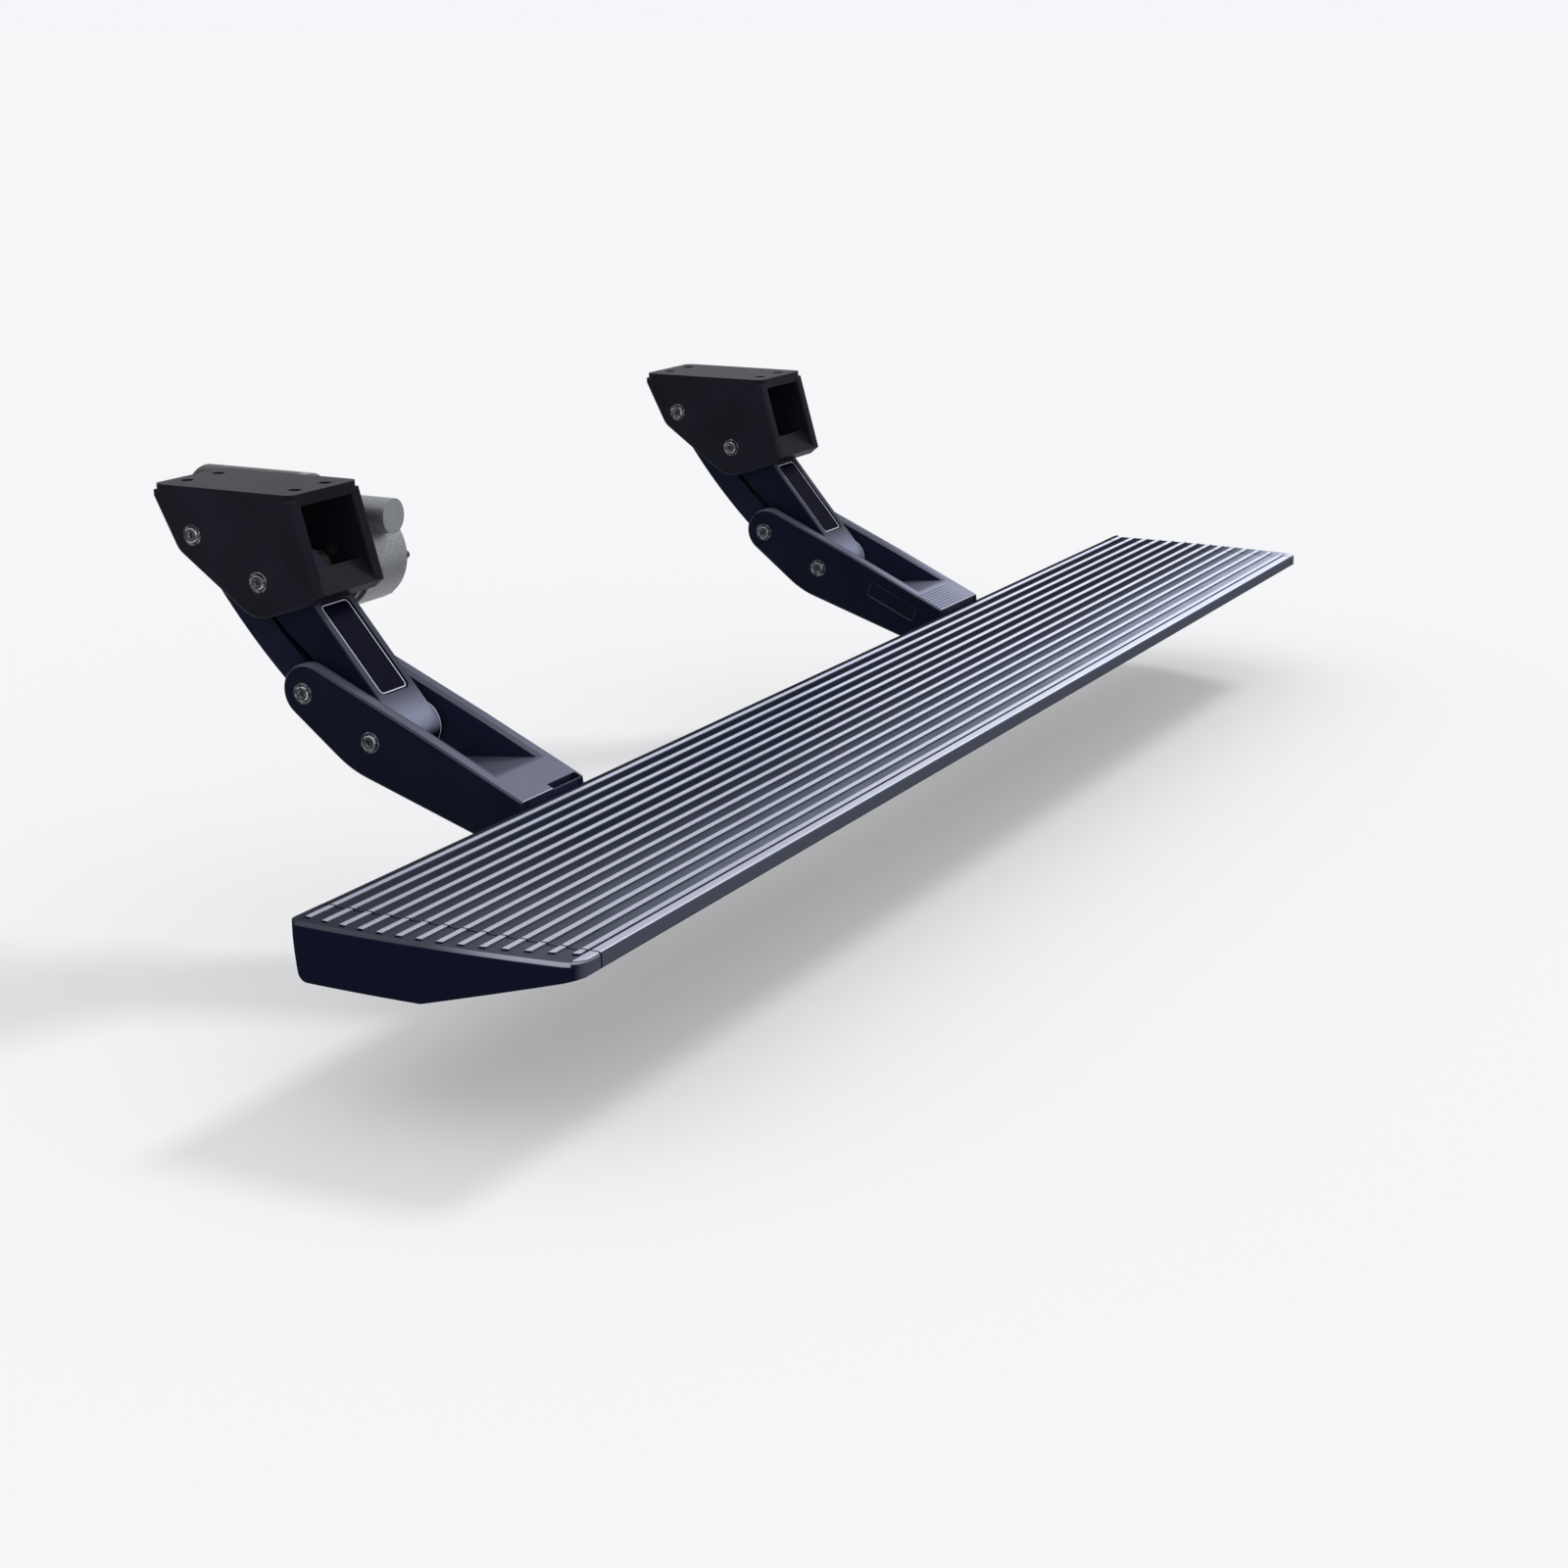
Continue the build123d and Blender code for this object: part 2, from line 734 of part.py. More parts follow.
# Links
def make_drive_link(x, hexed):
    """Cast drive link: round nose and crown, a bare panel in its back, hollow beneath."""
    width = link_far_x - link_near_x
    with BuildPart() as link:
        with BuildSketch(side(x + link_near_x)) as profile:
            with BuildLine():
                Polyline(
                    on_link(0, nose_radius),
                    on_link(link_shoulder, nose_radius),
                    on_link(link_length, crown_radius),
                    on_link(link_length, -crown_radius),
                    on_link(belly_end, -belly_depth),
                    on_link(throat_end, -link_throat),
                    on_link(throat_start, -link_throat),
                    on_link(nose_tangent, -nose_chin),
                    close=True,
                )
            make_face()
            for corner, radius in (
                (on_link(throat_end, -link_throat), throat_round),
                (on_link(throat_start, -link_throat), chin_round),
                (on_link(link_shoulder, nose_radius), shoulder_round),
            ):
                fillet(nearest(profile, corner), radius)
            with Locations(drive_low):
                Circle(nose_radius)
            with Locations(drive_top):
                Circle(crown_radius)
        extrude(amount=width)
        chamfer(link.faces().filter_by(Axis.X).edges(), link_edge)
        disc(x + link_far_x - link_edge, x + nose_far_x, drive_low, nose_radius - link_edge)
        back = on_link((panel_start + panel_end) / 2, nose_radius)
        turn = radians(link_angle)
        centre_x = x + (link_near_x + link_far_x) / 2
        normal = (0, -sin(turn), cos(turn))
        with BuildSketch(Plane(origin=(centre_x, *back), x_dir=(1, 0, 0), z_dir=normal)):
            RectangleRounded(width - 2 * panel_border, panel_end - panel_start, panel_round)
        extrude(amount=-panel_depth, mode=Mode.SUBTRACT)
        with BuildSketch(side(x + link_near_x + link_pocket_wall)) as pocket:
            roof = nose_radius - link_pocket_roof
            with BuildLine():
                Polyline(
                    on_link(link_pocket_start, roof),
                    on_link(link_pocket_end, roof),
                    on_link(link_pocket_end, -2 * nose_radius),
                    on_link(link_pocket_start, -2 * nose_radius),
                    close=True,
                )
            make_face()
            fillet(nearest(pocket, on_link(link_pocket_start, roof)), link_pocket_round)
            fillet(nearest(pocket, on_link(link_pocket_end, roof)), link_pocket_round)
        extrude(amount=width - 2 * link_pocket_wall, mode=Mode.SUBTRACT)
        bore(x + link_near_x - 1, x + nose_far_x + 1, drive_low, bush_radius + push_fit)
        if hexed:
            with BuildSketch(pivot(x + link_near_x - outline_overshoot, drive_top)):
                RegularPolygon(shaft_hex / 2 + hex_fit, 6, major_radius=False)
            extrude(amount=width + 2 * outline_overshoot, mode=Mode.SUBTRACT)
        else:
            bore(x + link_near_x - 1, x + link_far_x + 1, drive_top, bush_radius + push_fit)
    return link


def make_guide_link(x):
    """Bowed guide link: two bars between round bosses."""
    width = link_far_x - link_near_x
    turn = radians(link_angle)
    middle = (
        (guide_low[0] + guide_top[0]) / 2 + guide_sag * sin(turn),
        (guide_low[1] + guide_top[1]) / 2 - guide_sag * cos(turn),
    )
    with BuildPart() as link:
        with BuildSketch(side(x + link_near_x)):
            SlotArc(Edge.make_three_point_arc(guide_low, middle, guide_top), guide_depth)
            with Locations(guide_low, guide_top):
                Circle(guide_boss)
        extrude(amount=width)
        window = link_length - 2 * guide_window_start
        with BuildSketch(
            Plane(
                origin=(x + (link_near_x + link_far_x) / 2, *middle),
                x_dir=(1, 0, 0),
                z_dir=(0, -sin(turn), cos(turn)),
            )
        ):
            RectangleRounded(width - 2 * guide_window_wall, window, panel_round)
        extrude(amount=guide_depth, both=True, mode=Mode.SUBTRACT)
        for centre in (guide_low, guide_top):
            bore(x + link_near_x - 1, x + link_far_x + 1, centre, bush_radius + push_fit)
    return link


# Brackets
def stop_bar_points():
    """Corners of the stop bar, square to the drive link's back."""
    low = nose_radius + seat_gap + stop_pad_height
    start = link_length - stop_along - stop_bar_width / 2
    end = start + stop_bar_width
    high = low + stop_bar_depth
    return [on_link(start, low), on_link(end, low), on_link(end, high), on_link(start, high)]


def draw_ear():
    """Draw one ear of the bracket: round bosses and the stop bar, joined to the top plate."""
    with Locations(drive_top):
        Circle(ear_drive_radius)
    with Locations(guide_top):
        Circle(ear_guide_radius)
    Polygon(*stop_bar_points(), align=None)
    with Locations((0, -plate_thickness)):
        Rectangle(plate_length, plate_thickness / 2, align=(Align.CENTER, Align.MIN))
    make_hull()


def make_bracket(x, geared):
    """Cast bracket: two ears under a bolted top plate, with a bar for the stop pad."""
    with BuildPart() as bracket:
        for near in (x - half_arm, x + ear_face):
            with BuildSketch(side(near)):
                draw_ear()
            extrude(amount=ear_thickness)
        chamfer(bracket.faces().filter_by(Axis.X).edges(), bracket_edge)
        with BuildSketch(side(x - ear_face)):
            with BuildLine():
                Polyline(*stop_bar_points(), close=True)
            make_face()
        extrude(amount=2 * ear_face)
        with BuildSketch(Plane.XY):
            with Locations((x, 0)):
                RectangleRounded(arm_width, plate_length, plate_round)
            with Locations((x, 0)):
                with GridLocations(plate_bolt_x, plate_bolt_y, 2, 2):
                    Circle(plate_bolt_radius, mode=Mode.SUBTRACT)
        extrude(amount=-plate_thickness)
        for centre in (drive_top, guide_top):
            bore(x - half_arm - 1, x + half_arm + 1, centre, pin_radius + running_fit)
            bore(x - half_arm - 1, x - half_arm + pin_recess, centre, cup_radius)
            bore(x + half_arm - pin_recess, x + half_arm + 1, centre, cup_radius)
        if geared:
            bore(x + ear_face - 1, x + half_arm + 1, drive_top, shaft_bush_radius + push_fit)
            with BuildSketch(pivot(x + ear_face, drive_top)):
                with PolarLocations(mount_screw_circle, mount_screw_count, start_angle=45):
                    Circle(mount_screw_radius + running_fit)
            extrude(amount=cheek, mode=Mode.SUBTRACT)
            with BuildSketch(pivot(x + ear_face, drive_top)):
                with PolarLocations(mount_screw_circle, mount_screw_count, start_angle=45):
                    Circle(mount_screw_head_radius + side_gap)
            extrude(amount=mount_screw_recess, mode=Mode.SUBTRACT)
    return bracket


def make_stop_pad(x):
    """Rubber pad under the stop bar, just clear of the drive link's back."""
    turn = radians(link_angle)
    seat = on_link(link_length - stop_along, nose_radius + seat_gap)
    with BuildPart() as pad:
        with BuildSketch(Plane(origin=(x + (link_near_x + link_far_x) / 2, *seat), z_dir=(0, -sin(turn), cos(turn)))):
            Circle(stop_pad_radius)
        extrude(amount=stop_pad_height)
    return pad


# Drive shaft
def make_drive_shaft():
    """Turned shaft: journal, hexagon for the link, journal, hexagon for the wheel, end journal."""
    hex_end = gear_x + wheel_hub_length / 2
    hex_start = gear_x - wheel_hub_length / 2
    near_end = -half_arm + pin_recess
    with BuildPart() as shaft:
        with BuildSketch(pivot(near_end, drive_top)):
            Circle(pin_radius)
        extrude(amount=link_near_x - side_gap - near_end)
        with BuildSketch(pivot(link_near_x - side_gap, drive_top)):
            RegularPolygon(shaft_hex / 2, 6, major_radius=False)
        extrude(amount=link_far_x - link_near_x + 2 * side_gap)
        with BuildSketch(pivot(link_far_x + side_gap, drive_top)):
            Circle(shaft_radius)
        extrude(amount=hex_start - side_gap - link_far_x - side_gap)
        with BuildSketch(pivot(hex_start - side_gap, drive_top)):
            RegularPolygon(shaft_hex / 2, 6, major_radius=False)
        extrude(amount=hex_end - hex_start + 2 * side_gap)
        with BuildSketch(pivot(hex_end + side_gap, drive_top)):
            Circle(journal_radius)
        extrude(amount=case_face - side_gap - hex_end - side_gap)
        bore(near_end, near_end + screw_length, drive_top, screw_radius + push_fit)
    return shaft


def make_shaft_bush():
    """Plain bush for the drive shaft in the front bracket's far ear."""
    with BuildPart() as bush:
        ring(ear_face, half_arm, drive_top, shaft_bush_radius, shaft_radius + running_fit)
    return bush


def make_shaft_bearings():
    """The drive shaft's two bearings, in the gearbox floor and in its cover."""
    floor_x = half_arm + case_floor
    boss_x = case_face - cover_boss_length
    with BuildPart() as bearings:
        ring(floor_x - bearing_length, floor_x, drive_top, bearing_radius, shaft_radius + running_fit)
        ring(boss_x, case_face, drive_top, cover_bearing_radius, journal_radius + running_fit)
    return bearings


# Gearbox
def make_worm_wheel():
    """Worm wheel: straight-flanked teeth round a rim, on a long hub with a hexagon bore."""
    root = gear_radius - tooth_dedendum
    depth = tooth_addendum + tooth_dedendum
    flank = degrees(atan2(depth, (tooth_root_width - tooth_tip_width) / 2))
    with BuildPart() as wheel:
        with BuildSketch(pivot(gear_x - wheel_width / 2, drive_top)):
            Circle(root)
            with PolarLocations(root - thread_sink, wheel_teeth, start_angle=90):
                Trapezoid(
                    tooth_root_width, depth + thread_sink, flank, rotation=-90, align=(Align.CENTER, Align.MIN)
                )
        extrude(amount=wheel_width)
        with BuildSketch(pivot(gear_x - wheel_hub_length / 2, drive_top)):
            Circle(wheel_hub_radius)
        extrude(amount=wheel_hub_length)
        with BuildSketch(pivot(gear_x - wheel_hub_length, drive_top)):
            RegularPolygon(shaft_hex / 2 + hex_fit, 6, major_radius=False)
        extrude(amount=2 * wheel_hub_length, mode=Mode.SUBTRACT)
    return wheel


def worm_plane(y):
    """Plane across the worm's axis at y, its x direction towards the wheel."""
    return Plane(origin=(gear_x, y, worm_z), x_dir=(0, 0, -1), z_dir=(0, 1, 0))


def make_worm_shaft():
    """Motor shaft with the worm cut on its outboard end, a single right-hand thread."""
    thread_start = drive_pivot_y - (worm_turns - 1) / 2 * worm_lead
    rear_y = motor_end_y - motor_end_wall + ball_bearing_width - 1
    with BuildPart() as shaft:
        with BuildSketch(worm_plane(tail_seat)):
            Circle(motor_shaft_radius)
        extrude(amount=rear_y - tail_seat)
        with BuildSketch(worm_plane(thread_start - worm_lead / 2)):
            Circle(worm_root_radius)
        extrude(amount=worm_turns * worm_lead)
        with Locations(worm_plane(thread_start).location):
            add(make_worm_thread())
    return shaft


def make_worm_thread():
    """The worm's thread alone, round the Z axis and starting on the X axis."""
    depth = worm_tip_radius - worm_root_radius + thread_sink
    with BuildPart() as thread:
        with BuildLine() as path:
            Helix(worm_lead, (worm_turns - 1) * worm_lead, worm_root_radius - thread_sink)
        with BuildSketch(Plane(origin=path.line @ 0, x_dir=(1, 0, 0), z_dir=path.line % 0)):
            Polygon(
                (0, -thread_root_width / 2),
                (depth, -thread_tip_width / 2),
                (depth, thread_tip_width / 2),
                (0, thread_root_width / 2),
                align=None,
            )
        sweep(path=path.line, is_frenet=True)
    return thread.part


def make_gear_case():
    """Gearbox housing: round wheel case, worm tube across it and a flange for the motor."""
    with BuildPart() as case:
        with BuildSketch(pivot(half_arm, drive_top)):
            Circle(case_base_radius)
        extrude(amount=case_base)
        with BuildSketch(pivot(half_arm + case_base, drive_top)):
            Circle(case_radius)
        extrude(amount=case_face - half_arm - case_base)
        with BuildSketch(worm_plane(drive_pivot_y - worm_tail)):
            Circle(worm_tube_radius)
        extrude(amount=motor_face_y - drive_pivot_y + worm_tail)
        with BuildSketch(worm_plane(motor_face_y - motor_flange_thickness)):
            Circle(motor_radius)
        extrude(amount=motor_flange_thickness)
        bore(half_arm + case_floor, case_face + 1, drive_top, case_bore)
        bore(half_arm - 1, case_face, drive_top, shaft_radius + side_gap)
        bore(half_arm + case_floor - bearing_length, case_face, drive_top, bearing_radius + push_fit)
        with BuildSketch(worm_plane(tail_seat)):
            Circle(ball_bearing_radius + push_fit)
        extrude(amount=ball_bearing_width, mode=Mode.SUBTRACT)
        with BuildSketch(worm_plane(tail_seat + ball_bearing_width)):
            Circle(worm_tube_bore)
        extrude(amount=worm_room, mode=Mode.SUBTRACT)
        with BuildSketch(worm_plane(front_seat - worm_lip)):
            Circle(motor_shaft_radius + worm_lip_gap)
        extrude(amount=motor_face_y, mode=Mode.SUBTRACT)
        with BuildSketch(worm_plane(front_seat)):
            Circle(ball_bearing_radius + push_fit)
        extrude(amount=motor_face_y, mode=Mode.SUBTRACT)
        with BuildSketch(pivot(half_arm, drive_top)):
            with PolarLocations(mount_screw_circle, mount_screw_count, start_angle=45):
                Circle(mount_screw_radius + push_fit)
        extrude(amount=case_floor - 2, mode=Mode.SUBTRACT)
        with BuildSketch(pivot(case_face, drive_top)):
            with PolarLocations(cover_screw_circle, cover_screw_count):
                Circle(cover_screw_radius + push_fit)
        extrude(amount=-cover_screw_length, mode=Mode.SUBTRACT)
    return case


def make_gear_cover():
    """Round gearbox cover with a bearing boss inside."""
    with BuildPart() as cover:
        with BuildSketch(pivot(case_face, drive_top)):
            Circle(case_radius)
            with PolarLocations(cover_screw_circle, cover_screw_count):
                Circle(cover_screw_radius + running_fit, mode=Mode.SUBTRACT)
        extrude(amount=cover_thickness)
        ring(case_face - cover_boss_length, case_face, drive_top, cover_boss_radius, cover_bearing_radius + push_fit)
        chamfer(cover.faces().sort_by(Axis.X)[-1].outer_wire().edges(), 1)
    return cover


def make_cover_screws():
    """Screws round the gearbox cover."""
    with BuildPart() as screws:
        with BuildSketch(pivot(case_face + cover_thickness, drive_top)):
            with PolarLocations(cover_screw_circle, cover_screw_count):
                Circle(cover_screw_head_radius)
        extrude(amount=cover_screw_head)
        with BuildSketch(pivot(case_face + cover_thickness, drive_top)):
            with PolarLocations(cover_screw_circle, cover_screw_count):
                Circle(cover_screw_radius)
        extrude(amount=-cover_screw_length)
        with BuildSketch(pivot(case_face + cover_thickness + cover_screw_head, drive_top)):
            with PolarLocations(cover_screw_circle, cover_screw_count):
                RegularPolygon(cover_screw_radius * 0.75, 6, major_radius=False)
        extrude(amount=-cover_screw_head / 2, mode=Mode.SUBTRACT)
    return screws


def make_mount_screws():
    """Screws from inside the front bracket's far ear into the gearbox."""
    seat = ear_face + mount_screw_recess
    with BuildPart() as screws:
        with BuildSketch(pivot(seat, drive_top)):
            with PolarLocations(mount_screw_circle, mount_screw_count, start_angle=45):
                Circle(mount_screw_head_radius)
        extrude(amount=-mount_screw_head)
        with BuildSketch(pivot(seat, drive_top)):
            with PolarLocations(mount_screw_circle, mount_screw_count, start_angle=45):
                Circle(mount_screw_radius)
        extrude(amount=mount_screw_length)
        with BuildSketch(pivot(seat - mount_screw_head, drive_top)):
            with PolarLocations(mount_screw_circle, mount_screw_count, start_angle=45):
                RegularPolygon(mount_screw_radius * 0.85, 6, major_radius=False)
        extrude(amount=mount_screw_head / 2, mode=Mode.SUBTRACT)
    return screws


# Motor
def make_motor_can():
    """Drawn motor can, open towards the gearbox, its end closed round a bearing."""
    with BuildPart() as can:
        with BuildSketch(worm_plane(motor_face_y)):
            Circle(motor_radius)
        extrude(amount=motor_length)
        fillet(can.faces().sort_by(Axis.Y)[-1].edges(), motor_end_round)
        with BuildSketch(worm_plane(motor_face_y)):
            Circle(motor_bore)
        extrude(amount=motor_length - motor_end_wall, mode=Mode.SUBTRACT)
        with BuildSketch(worm_plane(motor_end_y - motor_end_wall)):
            Circle(ball_bearing_radius + push_fit)
        extrude(amount=ball_bearing_width, mode=Mode.SUBTRACT)
    return can


def make_magnets():
    """Two curved magnets inside the can."""
    with BuildPart() as magnets:
        with BuildSketch(worm_plane(motor_face_y + magnet_start)):
            Circle(motor_bore - push_fit)
            Circle(motor_bore - magnet_thickness, mode=Mode.SUBTRACT)
            with Locations((0, 0)):
                Rectangle(2 * motor_radius * cos(radians(magnet_arc / 2)), 2 * motor_radius, mode=Mode.SUBTRACT)
        extrude(amount=magnet_length)
    return magnets


def make_armature():
    """Slotted armature and its commutator, on the motor shaft."""
    start = motor_face_y + armature_start
    with BuildPart() as armature:
        with BuildSketch(worm_plane(start)):
            Circle(armature_radius)
            with PolarLocations(armature_radius, armature_slots):
                Rectangle(2 * armature_slot_depth, armature_slot_width, mode=Mode.SUBTRACT)
        extrude(amount=armature_length)
        with BuildSketch(worm_plane(start + armature_length)):
            Circle(commutator_radius)
        extrude(amount=commutator_gap + commutator_length)
        with BuildSketch(worm_plane(start)):
            Circle(motor_shaft_radius + push_fit)
        extrude(amount=armature_length + commutator_gap + commutator_length, mode=Mode.SUBTRACT)
    return armature


def make_motor_bearings():
    """Three like bearings: at the worm's tail, at the motor's face and in the can's end."""
    with BuildPart() as bearings:
        for start in (tail_seat, front_seat, motor_end_y - motor_end_wall):
            with BuildSketch(worm_plane(start)):
                Circle(ball_bearing_radius)
                Circle(motor_shaft_radius + running_fit, mode=Mode.SUBTRACT)
            extrude(amount=ball_bearing_width)
    return bearings


def make_power_socket():
    """Open plug socket on the end of the motor can."""
    with BuildPart() as socket:
        with BuildSketch(worm_plane(motor_end_y)):
            RectangleRounded(socket_height, socket_width, socket_wall)
        extrude(amount=socket_depth)
        with BuildSketch(worm_plane(motor_end_y + socket_wall)):
            Rectangle(socket_height - 2 * socket_wall, socket_width - 2 * socket_wall)
        extrude(amount=socket_depth, mode=Mode.SUBTRACT)
    return socket


def make_socket_pins():
    """Two contact pins inside the socket."""
    with BuildPart() as pins:
        with BuildSketch(worm_plane(motor_end_y + socket_wall)):
            with GridLocations(0, socket_pin_spread, 1, 2):
                Circle(socket_pin_radius)
        extrude(amount=socket_depth - 2 * socket_wall)
    return pins


def main():
    """Build every piece and write it."""
    write(make_board(), "step_board")
    cap = make_cap()
    write(cap, "front_end_cap")
    with BuildPart() as rear_cap:
        add(cap.part)
        mirror(about=Plane.YZ.offset(board_middle), mode=Mode.REPLACE)
    write(rear_cap, "rear_end_cap")
    for name, x in linkages:
        front = name == "front"
        write(make_arm(x, notched=front, badged=not front), f"{name}_step_arm")
        write(make_drive_link(x, hexed=front), f"{name}_drive_link")
        write(make_guide_link(x), f"{name}_guide_link")
        write(make_bracket(x, geared=front), f"{name}_bracket")
        write(make_stop_pad(x), f"{name}_stop_pad")
        write(make_pin(x, drive_low), f"{name}_drive_pin")
        write(make_pin(x, guide_low), f"{name}_guide_pin")
        write(make_pin(x, guide_top), f"{name}_upper_guide_pin")
        write(make_bush(x, drive_low, nose_far_x), f"{name}_drive_bush")
        write(make_bush(x, guide_low, link_far_x), f"{name}_guide_low_bush")
        write(make_bush(x, guide_top, link_far_x), f"{name}_guide_top_bush")
        write(
            make_spacers(
                x, ((drive_low, nose_far_x), (guide_low, link_far_x)), far_face, pin_radius + push_fit
            ),
            f"{name}_arm_spacers",
        )
    rear_x = linkage_spacing
    write(make_pin(rear_x, drive_top), "rear_upper_drive_pin")
    write(make_bush(rear_x, drive_top, link_far_x), "rear_upper_drive_bush")
    upper = ((guide_top, link_far_x),)
    write(make_spacers(0, upper, ear_face, pin_radius + push_fit), "front_bracket_spacer")
    upper = ((guide_top, link_far_x), (drive_top, link_far_x))
    write(make_spacers(rear_x, upper, ear_face, pin_radius + push_fit), "rear_bracket_spacers")
    low_ends = [end for _, x in linkages for spot in (drive_low, guide_low) for end in pivot_ends(x, spot)]
    top_ends = [end for _, x in linkages for end in pivot_ends(x, guide_top)] + pivot_ends(rear_x, drive_top)
    shaft_end = pivot_ends(0, drive_top)[:1]
    write(make_at_ends(make_ring, low_ends), "arm_pivot_rings")
    write(make_at_ends(make_screw, low_ends), "arm_pivot_screws")
    write(make_at_ends(make_ring, top_ends), "bracket_pivot_rings")
    write(make_at_ends(make_screw, top_ends), "bracket_pivot_screws")
    write(make_at_ends(make_ring, shaft_end), "drive_shaft_ring")
    write(make_at_ends(make_screw, shaft_end), "drive_shaft_screw")
    write(make_arm_bolts(), "arm_bolts")
    write(make_slot_nuts(), "slot_nuts")
    write(make_drive_shaft(), "drive_shaft")
    write(make_spacers(0, ((drive_top, link_far_x),), ear_face, shaft_radius + push_fit), "drive_shaft_spacer")
    write(make_shaft_bush(), "drive_shaft_bush")
    write(make_shaft_bearings(), "shaft_bearings")
    write(make_worm_wheel(), "worm_wheel")
    write(make_worm_shaft(), "worm_shaft")
    write(make_gear_case(), "gear_case")
    write(make_gear_cover(), "gear_cover")
    write(make_cover_screws(), "cover_screws")
    write(make_mount_screws(), "gearbox_screws")
    write(make_motor_can(), "motor_can")
    write(make_magnets(), "motor_magnets")
    write(make_armature(), "armature")
    write(make_motor_bearings(), "motor_bearings")
    write(make_power_socket(), "power_socket")
    write(make_socket_pins(), "socket_pins")


main()
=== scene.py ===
"""Looks of an electric side step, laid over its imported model.

Each finish is a node material on Object coordinates, in metres, so grain and wear have real sizes.
"""

import math

import bpy
import numpy as np
from bpy.props import FloatProperty, FloatVectorProperty, PointerProperty
from mathutils import Matrix, Vector


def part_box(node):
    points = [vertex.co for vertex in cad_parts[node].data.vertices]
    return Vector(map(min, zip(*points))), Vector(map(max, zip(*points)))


bl_info = {
    "name": "Electric side step",
    "version": (1, 0, 0),
    "blender": (4, 5, 0),
    "location": "3D View > Sidebar > Side step",
    "description": "Dresses the packed side step and sets its studio",
    "category": "Object",
}

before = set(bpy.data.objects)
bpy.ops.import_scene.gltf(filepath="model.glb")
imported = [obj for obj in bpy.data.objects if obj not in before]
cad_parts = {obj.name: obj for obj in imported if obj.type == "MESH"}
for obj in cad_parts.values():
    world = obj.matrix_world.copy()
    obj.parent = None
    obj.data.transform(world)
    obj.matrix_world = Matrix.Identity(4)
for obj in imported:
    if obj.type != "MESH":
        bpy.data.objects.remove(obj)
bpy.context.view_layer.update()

# The board: its top, its two long sides, where the caps join its ends, the border along its inboard
# side, and the height where the caps' rounded rims stop
TREAD_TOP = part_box("step_board")[1].z
BOARD_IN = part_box("step_board")[1].y
BOARD_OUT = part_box("step_board")[0].y
SEAMS = (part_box("step_board")[0].x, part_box("step_board")[1].x)
BOARD_MIDDLE = sum(SEAMS) / 2
BOARD_HALF = (SEAMS[1] - SEAMS[0]) / 2
BORDER = 0.005
RIM_TOP = TREAD_TOP - 0.0012

# The panel in a link's back: its middle from the link's left side, half its width, its start and end
# along the link from the lower pivot, its floor off the link's middle line, its corners' radius, and
# how far inside its rim the thin line runs
PANEL_MIDDLE = 0.0265
PANEL_HALF = 0.0195
PANEL_RUN = (0.026, 0.118)
PANEL_FLOOR = 0.0208
PANEL_ROUND = 0.006
LINE_INSET = 0.0022

# The painted highlight along the rim at the right end of a link's boss: its width along the pin, and its
# inner radius
BOSS_RIM_WIDTH = 0.0013
BOSS_RIM_START = 0.0195

# The arms: how far from the middle their inner faces may lie, the slot's start from the board, and
# the ridges' pitch and reach
INSIDE_HALF = 0.036
SLOT_START = 0.0315
RIDGE_PITCH = 0.0032
RIDGE_REACH = 0.03

FLOOR_REACH = 300.0


def middle(name):
    """Centre of a node's box."""
    low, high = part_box(name)
    return (low + high) / 2


LINK_LOW = middle("front_drive_pin")
LINK_WAY = (middle("front_upper_guide_pin") - middle("front_guide_pin")).normalized()


